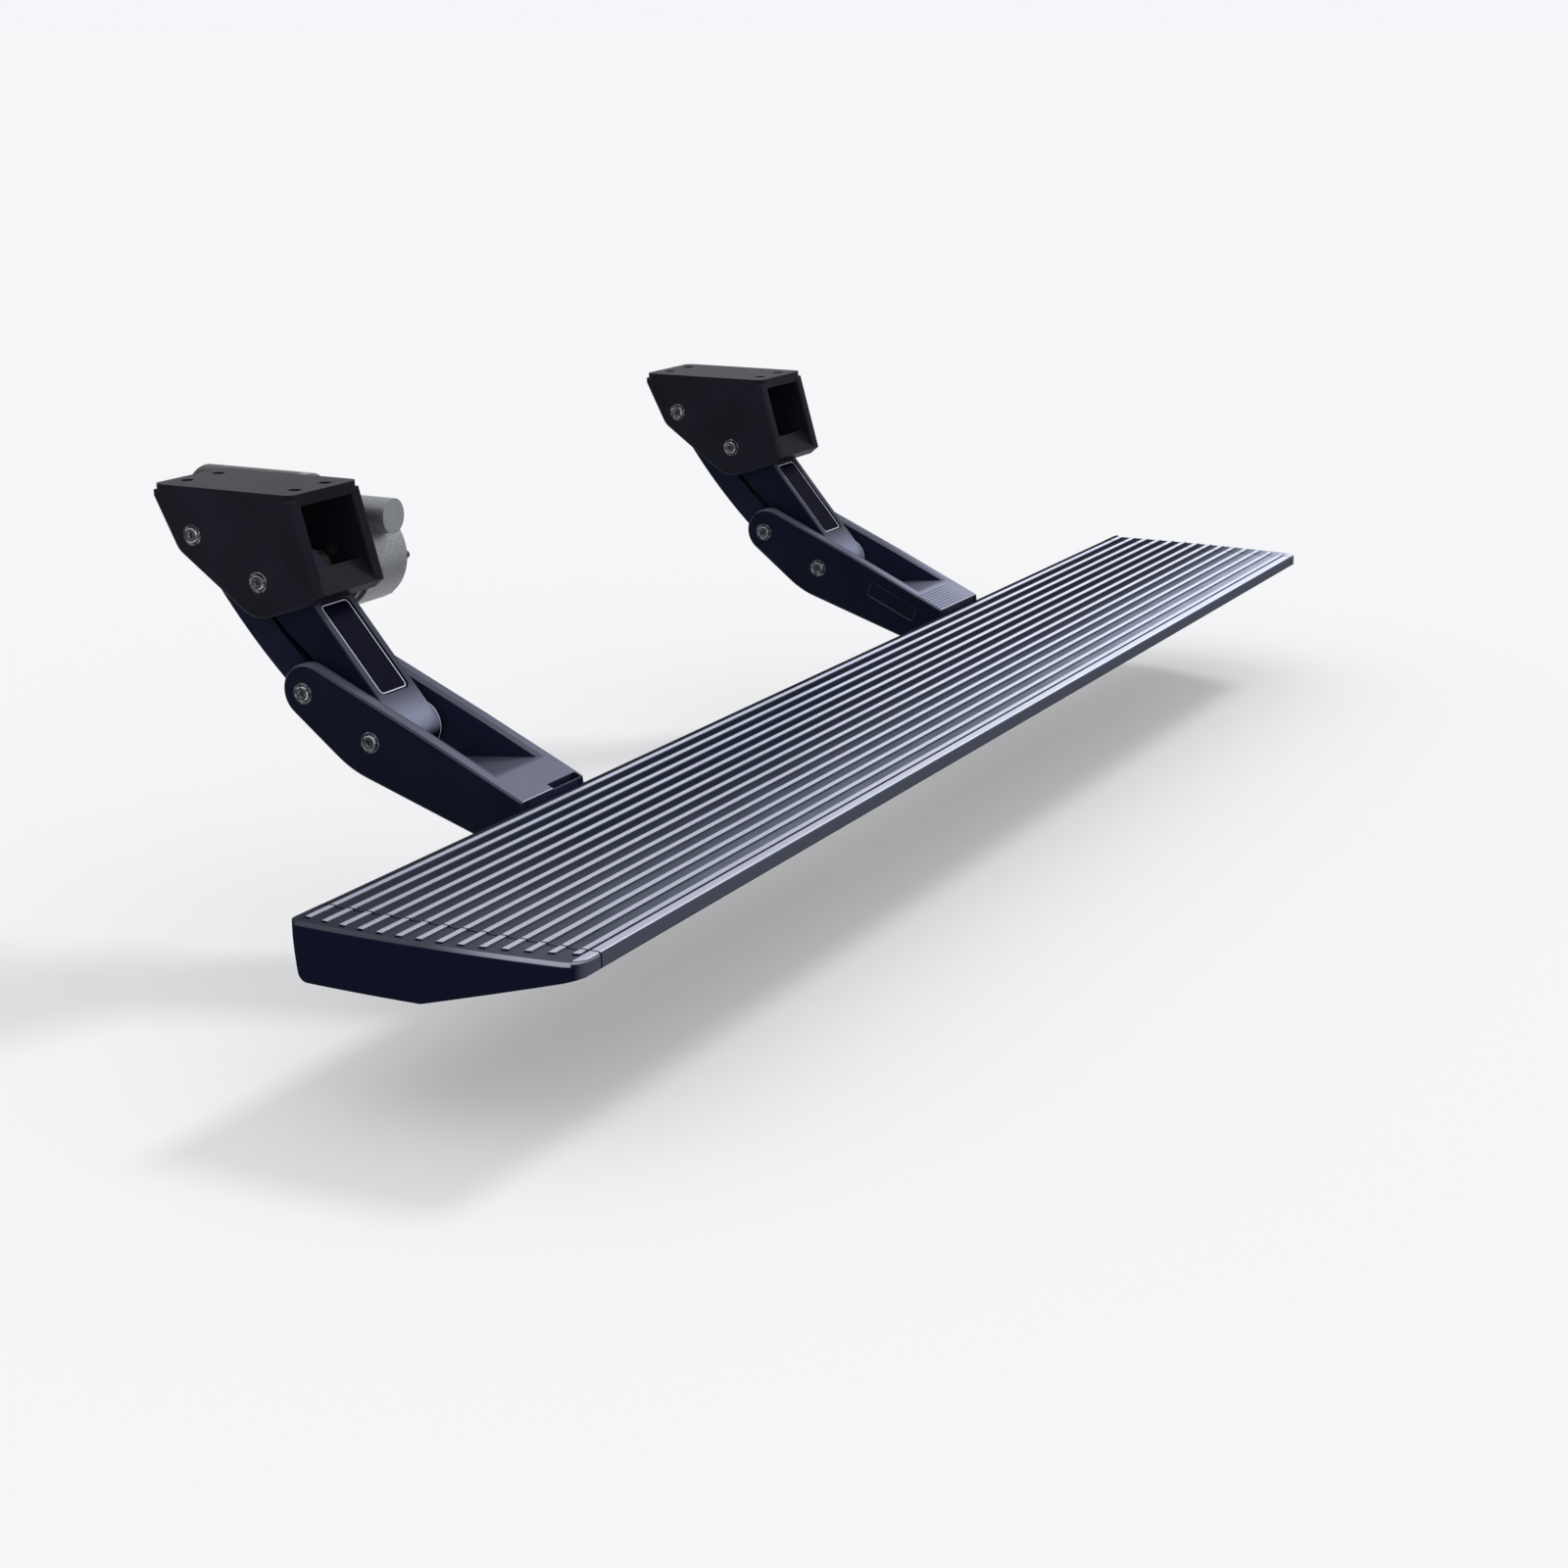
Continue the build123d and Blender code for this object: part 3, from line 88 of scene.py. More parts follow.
# Settings
class SideStepFinish(bpy.types.PropertyGroup):
    """Colours and finish of the side step."""

    side_colour: FloatVectorProperty(
        name="Coat",
        description="Coat on upright faces",
        subtype="COLOR",
        default=(0.006, 0.0071, 0.0172),
    )
    # Painted sheen: faces that look up are given this paler colour in place of the sky's reflection on the
    # satin coat.
    painted_sheen_colour: FloatVectorProperty(
        name="Coat tops",
        description="Coat on faces that look up",
        subtype="COLOR",
        default=(0.085, 0.091, 0.125),
    )
    # Painted sheen: the tread between the ribs as lit, scaled paler towards the far outboard end, on the
    # end rims and on the outboard face.
    groove_lit_colour: FloatVectorProperty(
        name="Tread",
        description="Coat between the ribs",
        subtype="COLOR",
        default=(0.045, 0.052, 0.068),
    )
    # Painted shade: the darkest tread tone, between the inboard ribs where no painted sheen is laid.
    deep_colour: FloatVectorProperty(
        name="Dark tread",
        description="Coat between the inboard ribs",
        subtype="COLOR",
        default=(0.005, 0.0088, 0.018),
    )
    crest_colour: FloatVectorProperty(
        name="Rib crests",
        description="Brushed tops of the ribs",
        subtype="COLOR",
        default=(0.56, 0.58, 0.7),
    )
    panel_colour: FloatVectorProperty(
        name="Link panel",
        description="Bare panel in a link's back, and the caps' seams",
        subtype="COLOR",
        default=(0.003, 0.003, 0.013),
    )
    # Colour of the printed line round a link's panel, and of the painted highlights at the arms' ends and
    # the bosses' rims.
    line_and_highlight_colour: FloatVectorProperty(
        name="Bright edges",
        description="Line round a link's panel, line at the arms' ends and rims of the bosses",
        subtype="COLOR",
        default=(0.75, 0.76, 0.8),
    )
    cap_colour: FloatVectorProperty(
        name="Caps",
        description="Sides of the moulded caps",
        subtype="COLOR",
        default=(0.006, 0.0075, 0.02),
    )
    bracket_colour: FloatVectorProperty(
        name="Brackets",
        description="Coat of the brackets",
        subtype="COLOR",
        default=(0.011, 0.0115, 0.017),
    )
    coat_roughness: FloatProperty(
        name="Coat roughness",
        description="Roughness of the powder coat",
        default=0.36,
        min=0.0,
        max=1.0,
    )
    coat_shine: FloatProperty(
        name="Coat shine",
        description="Share of full mirror light on the powder coat",
        default=0.02,
        min=0.0,
        max=1.0,
    )
    link_shine: FloatProperty(
        name="Link shine",
        description="Share of full mirror light on the drive links",
        default=0.012,
        min=0.0,
        max=1.0,
    )
    tread_shine: FloatProperty(
        name="Tread shine",
        description="Share of full mirror light on the tread and the caps",
        default=0.004,
        min=0.0,
        max=1.0,
    )
    grain_size: FloatProperty(
        name="Coat grain",
        description="Size of the powder coat's grain",
        default=0.0011,
        unit="LENGTH",
    )
    cap_grain: FloatProperty(
        name="Cap grain",
        description="Size of the moulded caps' grain",
        default=0.0014,
        unit="LENGTH",
    )
    edge_width: FloatProperty(
        name="Edge round",
        description="Width over which hard edges catch the light",
        default=0.0007,
        unit="LENGTH",
    )


class SideStepStudio(bpy.types.PropertyGroup):
    """Floor, light and camera."""

    floor_colour: FloatVectorProperty(
        name="Floor",
        description="Colour of the floor",
        subtype="COLOR",
        default=(0.93, 0.93, 0.935),
    )
    floor_drop: FloatProperty(
        name="Floor below tread",
        description="Height of the tread over the floor",
        default=0.135,
        unit="LENGTH",
    )
    shadow_fill: FloatProperty(
        name="Shadow fill",
        description="Share of plain floor colour where the camera sees it",
        default=0.28,
    )
    fill_light: FloatProperty(
        name="Fill brightness",
        description="Brightness of that plain floor colour",
        default=0.96,
    )
    sky_colour: FloatVectorProperty(
        name="Sky colour",
        description="Colour of the even light and the backdrop",
        subtype="COLOR",
        default=(0.97, 0.975, 1.0),
    )
    world_light: FloatProperty(
        name="Sky",
        description="Strength of the even light",
        default=0.79,
    )
    backdrop_light: FloatProperty(
        name="Backdrop",
        description="Strength of the sky that the camera and reflections see",
        default=0.945,
    )
    key_light: FloatProperty(
        name="Key",
        description="Strength of the main light",
        default=1.1,
    )
    key_from: FloatVectorProperty(
        name="Key from",
        description="Where the main light stands",
        subtype="DIRECTION",
        default=(0.70, -0.15, 0.70),
    )
    key_spread: FloatProperty(
        name="Key spread",
        description="Width of the main light",
        subtype="ANGLE",
        default=math.radians(13),
    )
    lens: FloatProperty(
        name="Lens",
        description="Focal length",
        default=61.387,
        unit="CAMERA",
    )
    eye: FloatVectorProperty(
        name="Camera",
        description="Place of the camera",
        subtype="TRANSLATION",
        default=(-1.7381, -1.3899, 0.3595),
    )
    view: FloatVectorProperty(
        name="View",
        description="Direction of view",
        subtype="DIRECTION",
        default=(0.85395, 0.44297, -0.27302),
    )
    roll: FloatProperty(
        name="Roll",
        description="Tilt of the camera",
        subtype="ANGLE",
        default=-0.003,
    )


# Shader maths
class Wire:
    """A socket whose arithmetic adds Math nodes."""

    def __init__(self, paint, socket):
        self.paint = paint
        self.socket = socket

    def _math(self, operation, *values):
        return self.paint.node("ShaderNodeMath", {"operation": operation}, dict(enumerate(values)))

    def __add__(self, other):
        return self._math("ADD", self, other)

    __radd__ = __add__

    def __sub__(self, other):
        return self._math("SUBTRACT", self, other)

    def __rsub__(self, other):
        return self._math("SUBTRACT", other, self)

    def __mul__(self, other):
        return self._math("MULTIPLY", self, other)

    __rmul__ = __mul__

    def size(self):
        """The value without its sign."""
        return self._math("ABSOLUTE", self)

    def above(self, floor):
        """The value, or the floor where it is lower."""
        return self._math("MAXIMUM", self, floor)

    def root(self):
        """Square root of the value."""
        return self._math("SQRT", self)

    def wave(self, period):
        """Sine of the value over a period."""
        return self._math("SINE", self * (2 * math.pi / period))

    def ramp(self, low, high):
        """0 below low, 1 above high, smooth between."""
        settings = {"interpolation_type": "SMOOTHSTEP", "clamp": True}
        inputs = {"Value": self, "From Min": low, "From Max": high}
        return self.paint.node("ShaderNodeMapRange", settings, inputs)

    def fall(self, low, high):
        """1 below low, 0 above high, smooth between."""
        return 1 - self.ramp(low, high)

    def within(self, near, far):
        """1 where the value's size is below near, 0 where it is above far."""
        return self.size().fall(near, far)


class Paint:
    """Builder of one material's nodes."""

    def __init__(self, name):
        self.material = bpy.data.materials.new(name)
        self.material.use_nodes = True
        self.tree = self.material.node_tree
        self.tree.nodes.clear()
        self.output = self.tree.nodes.new("ShaderNodeOutputMaterial")

    def node(self, kind, settings=None, inputs=None, output=0):
        """Add a node: its settings first, then its sockets' values or links."""
        made = self.tree.nodes.new(kind)
        for key, value in (settings or {}).items():
            setattr(made, key, value)
        for key, value in (inputs or {}).items():
            if isinstance(value, Wire):
                self.tree.links.new(value.socket, made.inputs[key])
            else:
                made.inputs[key].default_value = value
        return Wire(self, made.outputs[output])

    def place(self):
        """Object coordinates, in metres."""
        return self.node("ShaderNodeTexCoord", output="Object")

    def axis(self, name):
        """One of the Object coordinates."""
        return self.node("ShaderNodeSeparateXYZ", {}, {"Vector": self.place()}, output=name)

    def facing(self, name):
        """One part of the surface's direction on the piece itself."""
        normal = self.node("ShaderNodeTexCoord", output="Normal")
        return self.node("ShaderNodeSeparateXYZ", {}, {"Vector": normal}, output=name)

    def seen(self):
        """1 where the camera or a reflection looks."""
        found = self.node("ShaderNodeLightPath", output="Is Camera Ray")
        for kind in ("Is Glossy Ray", "Is Transmission Ray"):
            found = found.above(self.node("ShaderNodeLightPath", output=kind))
        return found

    def noise(self, size, detail, stretch=(1, 1, 1)):
        """Noise whose blobs are about size across, in metres, longer where stretch is more than 1."""
        scale = tuple(1 / (size * part) for part in stretch)
        place = self.node("ShaderNodeMapping", {}, {"Vector": self.place(), "Scale": scale})
        return self.node("ShaderNodeTexNoise", {}, {"Vector": place, "Scale": 1.0, "Detail": detail})

    def mix(self, share, first, second):
        """Blend of two colours, all second where share is 1."""
        inputs = {"Factor": share, 6: full(first), 7: full(second)}
        return self.node("ShaderNodeMix", {"data_type": "RGBA"}, inputs, output=2)

    def rounded(self, width):
        """The surface's direction with hard edges rounded over a width."""
        return self.node("ShaderNodeBevel", {"samples": 4}, {"Radius": width}, output="Normal")

    def edge_mask(self, soft):
        """1 along hard edges, from how far the rounded direction leaves the true one."""
        normal = self.node("ShaderNodeNewGeometry", output="Normal")
        settings = {"operation": "DOT_PRODUCT"}
        match = self.node("ShaderNodeVectorMath", settings, {0: soft, 1: normal}, output="Value")
        return (1 - match).ramp(0.01, 0.12)

    def bump(self, height, distance, strength, normal):
        """Bump of a height: distance in metres where height and strength are 1."""
        inputs = {"Height": height, "Distance": distance, "Strength": strength, "Normal": normal}
        return self.node("ShaderNodeBump", {}, inputs, output="Normal")

    def finish(self, **values):
        """Principled surface with the given sockets, underscores read as spaces."""
        inputs = {key.replace("_", " "): value for key, value in values.items()}
        surface = self.node("ShaderNodeBsdfPrincipled", {}, inputs)
        self.tree.links.new(surface.socket, self.output.inputs["Surface"])
        return self.material


def full(colour):
    """Colour with an alpha of 1, or the wire as it is."""
    return colour if isinstance(colour, Wire) else (*colour[:3], 1)


def shade(colour, factor):
    """Colour times a factor."""
    return tuple(part * factor for part in colour[:3])


# Coats
def powder_coat(name, look, colour, shine=None, paler=None, relief=None, rub=1.3):
    """Satin powder coat: faint clouding, orange peel, fine grain, and edges paler partly from rubbed wear
    and partly as a painted highlight.

    paler adds painted sheen, painted highlights and painted shade to the plain coat's wire, relief adds
    heights of its own, rub is how pale the edges' wear and painted highlight are.
    """
    paint = Paint(name)
    soft = paint.rounded(look.edge_width)
    rubbed = paint.edge_mask(soft)
    clouds = paint.noise(0.05, 3)
    body = paint.mix(clouds.ramp(0.3, 0.7), shade(colour, 0.86), shade(colour, 1.16))
    if paler is not None:
        body = paler(paint, body, clouds)
    # Edges mixed towards the painted sheen colour: partly rubbed wear, partly a painted highlight.
    body = paint.mix(rubbed * 0.4, body, shade(look.painted_sheen_colour, rub))
    grain = look.grain_size
    peel = paint.noise(grain * 3, 2)
    fine = paint.noise(grain * 0.5, 2)
    height = peel * 0.7 + fine * 0.3
    if relief is not None:
        height = height + relief(paint)
    return paint.finish(
        Base_Color=body,
        Roughness=look.coat_roughness - 0.05 + clouds * 0.06 + fine * 0.05,
        Normal=paint.bump(height, grain * 0.12, 0.8, soft),
        Specular_IOR_Level=look.coat_shine if shine is None else shine,
    )


def arm_top(paint):
    """1 on an arm's top faces, and how far they lie from the board."""
    return paint.facing("Z").ramp(0.5, 0.8), paint.axis("Y") - BOARD_IN


def ridge_lines(paint, away):
    """Fine lines along the board on the rear arm's end, fading across it."""
    low = middle("rear_step_arm").x
    across = paint.axis("X").fall(low - 0.01, low + 0.04)
    run = away.ramp(0.001, 0.004) * away.fall(RIDGE_REACH - 0.003, RIDGE_REACH)
    return away.wave(RIDGE_PITCH) * run * across


def arm_coat(name, look, ridged):
    """Powder coat of an arm: painted sheen on the tops, paler towards the board, a painted highlight line
    at their end, fine ridges on one with painted shade along them.

    The slot's inner walls are painted paler than the sides, painted light in the dim slot, and the slot's
    floor gets painted shade.
    """

    def paler(paint, body, clouds):
        up, away = arm_top(paint)
        # Painted sheen: tops paler than the sides, palest near the board.
        far_tone = shade(look.painted_sheen_colour, 1.3)
        near_tone = shade(look.painted_sheen_colour, 4.2 if ridged else 2.05)
        tops = paint.mix(away.fall(0.01, 0.12), far_tone, near_tone)
        tops = paint.mix(clouds * 0.3, tops, look.painted_sheen_colour)
        if ridged:
            # Painted shade: the ridge lines darken the tops back towards the plain painted sheen.
            crests = ridge_lines(paint, away).ramp(-0.2, 0.6)
            tops = paint.mix(crests * 0.7, tops, look.painted_sheen_colour)
        # Painted light on the slot's inner walls, paler than the sides; painted shade on the slot's floor.
        inside = (paint.axis("X") - middle(name).x).within(INSIDE_HALF - 0.001, INSIDE_HALF + 0.001)
        body = paint.mix(inside, body, shade(look.side_colour, 2.4))
        slot = inside * away.ramp(SLOT_START - 0.0015, SLOT_START + 0.0015)
        tops = paint.mix(slot * 0.6, tops, shade(look.painted_sheen_colour, 0.5))
        body = paint.mix(up, body, tops)
        # Painted highlight: a bright line along the tops' end at the board.
        end_highlight = (away - 0.0007).within(0.0005, 0.0009)
        return paint.mix(up * end_highlight, body, shade(look.line_and_highlight_colour, 0.7))

    def ridges(paint):
        up, away = arm_top(paint)
        return ridge_lines(paint, away) * up * 2.5

    relief = ridges if ridged else None
    return powder_coat(f"{name}_coat", look, look.side_colour, paler=paler, relief=relief, rub=3.2)


def panel_line(paint, along, left):
    """Thin line at one distance inside the rim of a link's panel, a rectangle with round corners.

    The distance to the rim is the length past the corner circle's centre on the two axes, where what
    lies short of it counts as 0, less the corner's radius.
    """
    half_run = (PANEL_RUN[1] - PANEL_RUN[0]) / 2
    across = (paint.axis("X") - (left + PANEL_MIDDLE)).size() - (PANEL_HALF - PANEL_ROUND)
    run = (along - (PANEL_RUN[0] + half_run)).size() - (half_run - PANEL_ROUND)
    wide = across.above(0)
    tall = run.above(0)
    rim = (wide * wide + tall * tall).root() - PANEL_ROUND
    return (rim + LINE_INSET).within(0.0003, 0.0006)


def link_coat(name, look, left, right):
    """Powder coat of a drive link: painted sheen on the back, palest at the nose, round a dark bare panel
    with a thin line inside its rim.

    The boss's rim gets a painted highlight, in place of a machined edge's glint.
    """

    def paler(paint, body, clouds):
        from_y = paint.axis("Y") - LINK_LOW.y
        from_z = paint.axis("Z") - LINK_LOW.z
        along = from_y * LINK_WAY.y + from_z * LINK_WAY.z
        off = from_z * LINK_WAY.y - from_y * LINK_WAY.z
        back = paint.facing("Z") * LINK_WAY.y - paint.facing("Y") * LINK_WAY.z
        # Painted sheen on the back, palest at the nose.
        nose_tone = shade(look.painted_sheen_colour, 3.9)
        back_tone = shade(look.painted_sheen_colour, 0.7)
        tone = paint.mix(along.ramp(-0.005, 0.032), nose_tone, back_tone)
        tone = paint.mix(clouds * 0.3, tone, look.painted_sheen_colour)
        body = paint.mix(back.ramp(0.6, 0.97), body, tone)
        # Painted highlight along the boss's rim.
        radius = (from_y * from_y + from_z * from_z).root()
        side = (paint.axis("X") - (right - BOSS_RIM_WIDTH)).ramp(0.0, 0.0003)
        edge = radius.ramp(BOSS_RIM_START, BOSS_RIM_START + 0.0005)
        rim = side * edge * along.fall(0.005, 0.01)
        body = paint.mix(rim, body, shade(look.line_and_highlight_colour, 1.1))
        sunk = (off - PANEL_FLOOR).within(0.0003, 0.0005) * back.ramp(0.9, 0.95)
        sunk = sunk * along.ramp(PANEL_RUN[0] - 0.002, PANEL_RUN[0] - 0.001)
        body = paint.mix(sunk, body, look.panel_colour)
        return paint.mix(sunk * panel_line(paint, along, left), body, look.line_and_highlight_colour)

    return powder_coat(name, look, look.side_colour, shine=look.link_shine, paler=paler)


def painted_tread_sheen(paint, look, along, outer, clouds):
    """Colour between the ribs with painted sheen: darkest inboard, palest outboard at the far end."""
    groove = look.groove_lit_colour
    steep = outer * outer * outer
    near_tone = paint.mix(outer, shade(groove, 0.8), shade(groove, 1.75))
    mid_tone = paint.mix(steep, shade(look.deep_colour, 1.5), shade(groove, 3.3))
    far_tone = paint.mix(steep * outer * outer, look.deep_colour, shade(groove, 11.0))
    tone = paint.mix(along.ramp(SEAMS[0] - 0.02, -0.04), near_tone, mid_tone)
    tone = paint.mix(along.ramp(0.3, 1.2), tone, far_tone)
    return paint.mix(clouds.ramp(0.3, 0.7) * 0.2, tone, look.panel_colour)


def end_rim_highlights(paint, look, body, along, outer):
    """Painted highlights on the rounded rims at the board's two ends, palest at their outer corners."""
    tilt = paint.facing("Z")
    rounded = tilt.ramp(0.1, 0.4) * tilt.fall(0.9, 0.995)
    ends = (along - BOARD_MIDDLE).size().ramp(BOARD_HALF + 0.001, BOARD_HALF + 0.002)
    rim = rounded * ends * paint.axis("Z").fall(RIM_TOP, RIM_TOP + 0.0003)
    inner_tone = shade(look.groove_lit_colour, 1.4)
    corner_tone = shade(look.crest_colour, 0.7)
    return paint.mix(rim, body, paint.mix(outer.ramp(0.45, 1.0), inner_tone, corner_tone))


def crest_mask(paint):
    """1 on the flat tops of the ribs, and 0 on the border along the board's inboard side."""
    high = paint.axis("Z").ramp(TREAD_TOP - 0.0009, TREAD_TOP - 0.0003)
    outboard = (paint.axis("Y") - BOARD_IN).fall(-BORDER - 0.0001, -BORDER + 0.0001)
    return high * paint.facing("Z").ramp(0.6, 0.9) * outboard


def crest_tone(paint, look, along, brushed):
    """Colour of the ribs' brushed tops, with a painted highlight growing towards the far end."""
    near_tone = shade(look.crest_colour, 0.84)
    far_tone = shade(look.crest_colour, 1.5)
    tone = paint.mix(along.ramp(SEAMS[0], 0.9), near_tone, far_tone)
    return paint.mix(brushed.ramp(0.3, 0.7) * 0.25, tone, shade(look.crest_colour, 0.6))


def tread_coat(name, look, grain, edge, side):
    """Coat of the board and the caps: a tread with painted sheen, brushed crests with a painted highlight,
    painted highlights on the end rims, a paler outboard face and dark seams.
    """
    paint = Paint(name)
    soft = paint.rounded(edge)
    along = paint.axis("X")
    outer = paint.axis("Y").fall(BOARD_OUT, BOARD_IN)
    clouds = paint.noise(0.06, 3)
    brushed = paint.noise(0.0006, 2, stretch=(60, 1, 1))
    scuffs = paint.noise(0.004, 4, stretch=(6, 1, 1))
    top = crest_mask(paint)
    up = paint.facing("Z").ramp(0.45, 0.85)
    # Painted sheen: faces that look up take the painted tread tones, upright faces keep the plain coat.
    body = paint.mix(up, side, painted_tread_sheen(paint, look, along, outer, clouds))
    # Painted highlights on the end rims.
    body = end_rim_highlights(paint, look, body, along, outer)
    # Painted light: faces turned outboard are paler.
    front = (paint.facing("Y") * -1).ramp(0.6, 0.95)
    body = paint.mix(front * 0.8, body, shade(look.groove_lit_colour, 1.6))
    worn = top * (1 - scuffs.ramp(0.62, 0.8) * 0.25)
    # Crests: brushed tops with a painted highlight towards the far end, scuffed in places.
    body = paint.mix(worn, body, crest_tone(paint, look, along, brushed))
    for seam in SEAMS:
        body = paint.mix((along - seam).within(0.0006, 0.0012), body, look.panel_colour)
    fine = paint.noise(grain * 0.6, 2)
    relief = fine * (1 - top) + brushed * top * 0.5
    return paint.finish(
        Base_Color=body,
        Roughness=look.coat_roughness + clouds * 0.05 - top * 0.04,
        Metallic=top * 0.35,
        Normal=paint.bump(relief, grain * 0.12, 0.8, soft),
        Specular_IOR_Level=look.tread_shine,
    )


# Plastic, metal and rubber
def moulded_plastic(name, colour, roughness, edge):
    """Moulded plastic: spark-eroded grain, and a slight gloss on its rounded rims, with a painted
    highlight there.
    """
    paint = Paint(name)
    soft = paint.rounded(edge)
    rim = paint.edge_mask(soft)
    grain = paint.noise(0.0007, 3)
    clouds = paint.noise(0.03, 2)
    body = paint.mix(clouds, shade(colour, 0.88), shade(colour, 1.12))
    # Painted highlight: rounded rims paler than the body.
    body = paint.mix(rim * 0.3, body, shade(colour, 3.0))
    return paint.finish(
        Base_Color=body,
        Roughness=roughness + grain * 0.1 - rim * 0.08,
        Normal=paint.bump(grain, 0.00012, 0.8, soft),
    )


def bare_metal(name, colour, roughness, metallic=1.0, stretch=(1, 1, 1)):
    """Bare metal: fine turning or brushing marks, dulled in patches."""
    paint = Paint(name)
    soft = paint.rounded(0.0004)
    marks = paint.noise(0.0004, 2, stretch=stretch)
    patches = paint.noise(0.008, 3)
    return paint.finish(
        Base_Color=paint.mix(patches.ramp(0.25, 0.75), shade(colour, 0.82), shade(colour, 1.08)),
        Roughness=roughness + patches * 0.12 + marks * 0.06,
        Metallic=metallic,
        Normal=paint.bump(marks, 0.00006, 0.6, soft),
    )


def turned_metal(name, flat, glint_colour):
    """Blackened turned steel: dark flats, with painted highlights on rims and domed edges, broken up by
    noise.
    """
    paint = Paint(name)
    soft = paint.rounded(0.0006)
    marks = paint.noise(0.0004, 2)
    wear = paint.noise(0.004, 3).ramp(0.42, 0.56)
    tilted = paint.facing("X").within(0.86, 0.97).above(paint.edge_mask(soft))
    # Painted highlight: tilted faces and hard edges take the pale glint colour, mostly not metallic.
    bright = tilted * (wear * 0.75 + 0.25)
    return paint.finish(
        Base_Color=paint.mix(bright, flat, glint_colour),
        Roughness=0.26 + marks * 0.1,
        Metallic=1 - bright * 0.8,
        Normal=paint.bump(marks, 0.00004, 0.5, soft),
    )


def cast_metal(name, colour, roughness):
    """Sand-cast aluminium: pebbled skin with paler high spots."""
    paint = Paint(name)
    soft = paint.rounded(0.0009)
    pebbles = paint.noise(0.0018, 4)
    return paint.finish(
        Base_Color=paint.mix(pebbles.ramp(0.3, 0.75), shade(colour, 0.75), shade(colour, 1.15)),
        Roughness=roughness + pebbles * 0.15,
        Metallic=0.85,
        Normal=paint.bump(pebbles, 0.0004, 0.7, soft),
    )


def soft_rubber(name, colour):
    """Matt rubber with a dusty bloom."""
    paint = Paint(name)
    soft = paint.rounded(0.0006)
    bloom = paint.noise(0.003, 3)
    grain = paint.noise(0.0006, 2)
    return paint.finish(
        Base_Color=paint.mix(bloom.ramp(0.4, 0.8), colour, shade(colour, 1.8)),
        Roughness=0.75 + bloom * 0.1,
        Normal=paint.bump(grain, 0.0001, 0.7, soft),
    )


def dress(nodes, material):
    """Give CAD nodes a material."""
    for name in nodes:
        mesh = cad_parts[name].data
        mesh.materials.clear()
        mesh.materials.append(material)


def nodes_named(*endings):
    """CAD nodes whose names end with one of the endings."""
    found = [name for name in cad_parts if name.endswith(endings)]
    if not found:
        raise RuntimeError(f"no node ends with {endings}")
    return found


# Operators
class SIDE_STEP_OT_board(bpy.types.Operator):
    """Finish of the step board"""

    bl_idname = "side_step.board"
    bl_label = "Step board"

    def execute(self, context):
        look = context.scene.side_step_finish
        coat = tread_coat("board_coat", look, look.grain_size, look.edge_width, look.side_colour)
        dress(["step_board"], coat)
        return {"FINISHED"}


class SIDE_STEP_OT_end_caps(bpy.types.Operator):
    """Finish of the moulded end caps"""

    bl_idname = "side_step.end_caps"
    bl_label = "End caps"

    def execute(self, context):
        look = context.scene.side_step_finish
        plastic = tread_coat("cap_plastic", look, look.cap_grain, 2 * look.edge_width, look.cap_colour)
        dress(nodes_named("_end_cap"), plastic)
        return {"FINISHED"}


class SIDE_STEP_OT_arms(bpy.types.Operator):
    """Finish of the step arms"""

    bl_idname = "side_step.arms"
    bl_label = "Step arms"

    def execute(self, context):
        look = context.scene.side_step_finish
        dress(["front_step_arm"], arm_coat("front_step_arm", look, False))
        dress(["rear_step_arm"], arm_coat("rear_step_arm", look, True))
        return {"FINISHED"}


class SIDE_STEP_OT_links(bpy.types.Operator):
    """Finish of the drive and guide links"""

    bl_idname = "side_step.links"
    bl_label = "Links"

    def execute(self, context):
        look = context.scene.side_step_finish
        for end in ("front", "rear"):
            low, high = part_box(f"{end}_drive_link")
            dress([f"{end}_drive_link"], link_coat(f"{end}_link_coat", look, low.x, high.x))
        guide_coat = powder_coat("guide_link_coat", look, shade(look.side_colour, 1.3))
        dress(nodes_named("_guide_link"), guide_coat)
        return {"FINISHED"}


class SIDE_STEP_OT_brackets(bpy.types.Operator):
    """Finish of the brackets and their stop pads"""

    bl_idname = "side_step.brackets"
    bl_label = "Brackets"

    def execute(self, context):
        look = context.scene.side_step_finish
        dress(nodes_named("_bracket"), powder_coat("bracket_coat", look, look.bracket_colour))
        dress(nodes_named("_stop_pad"), soft_rubber("pad_rubber", colour=(0.02, 0.02, 0.02)))
        return {"FINISHED"}


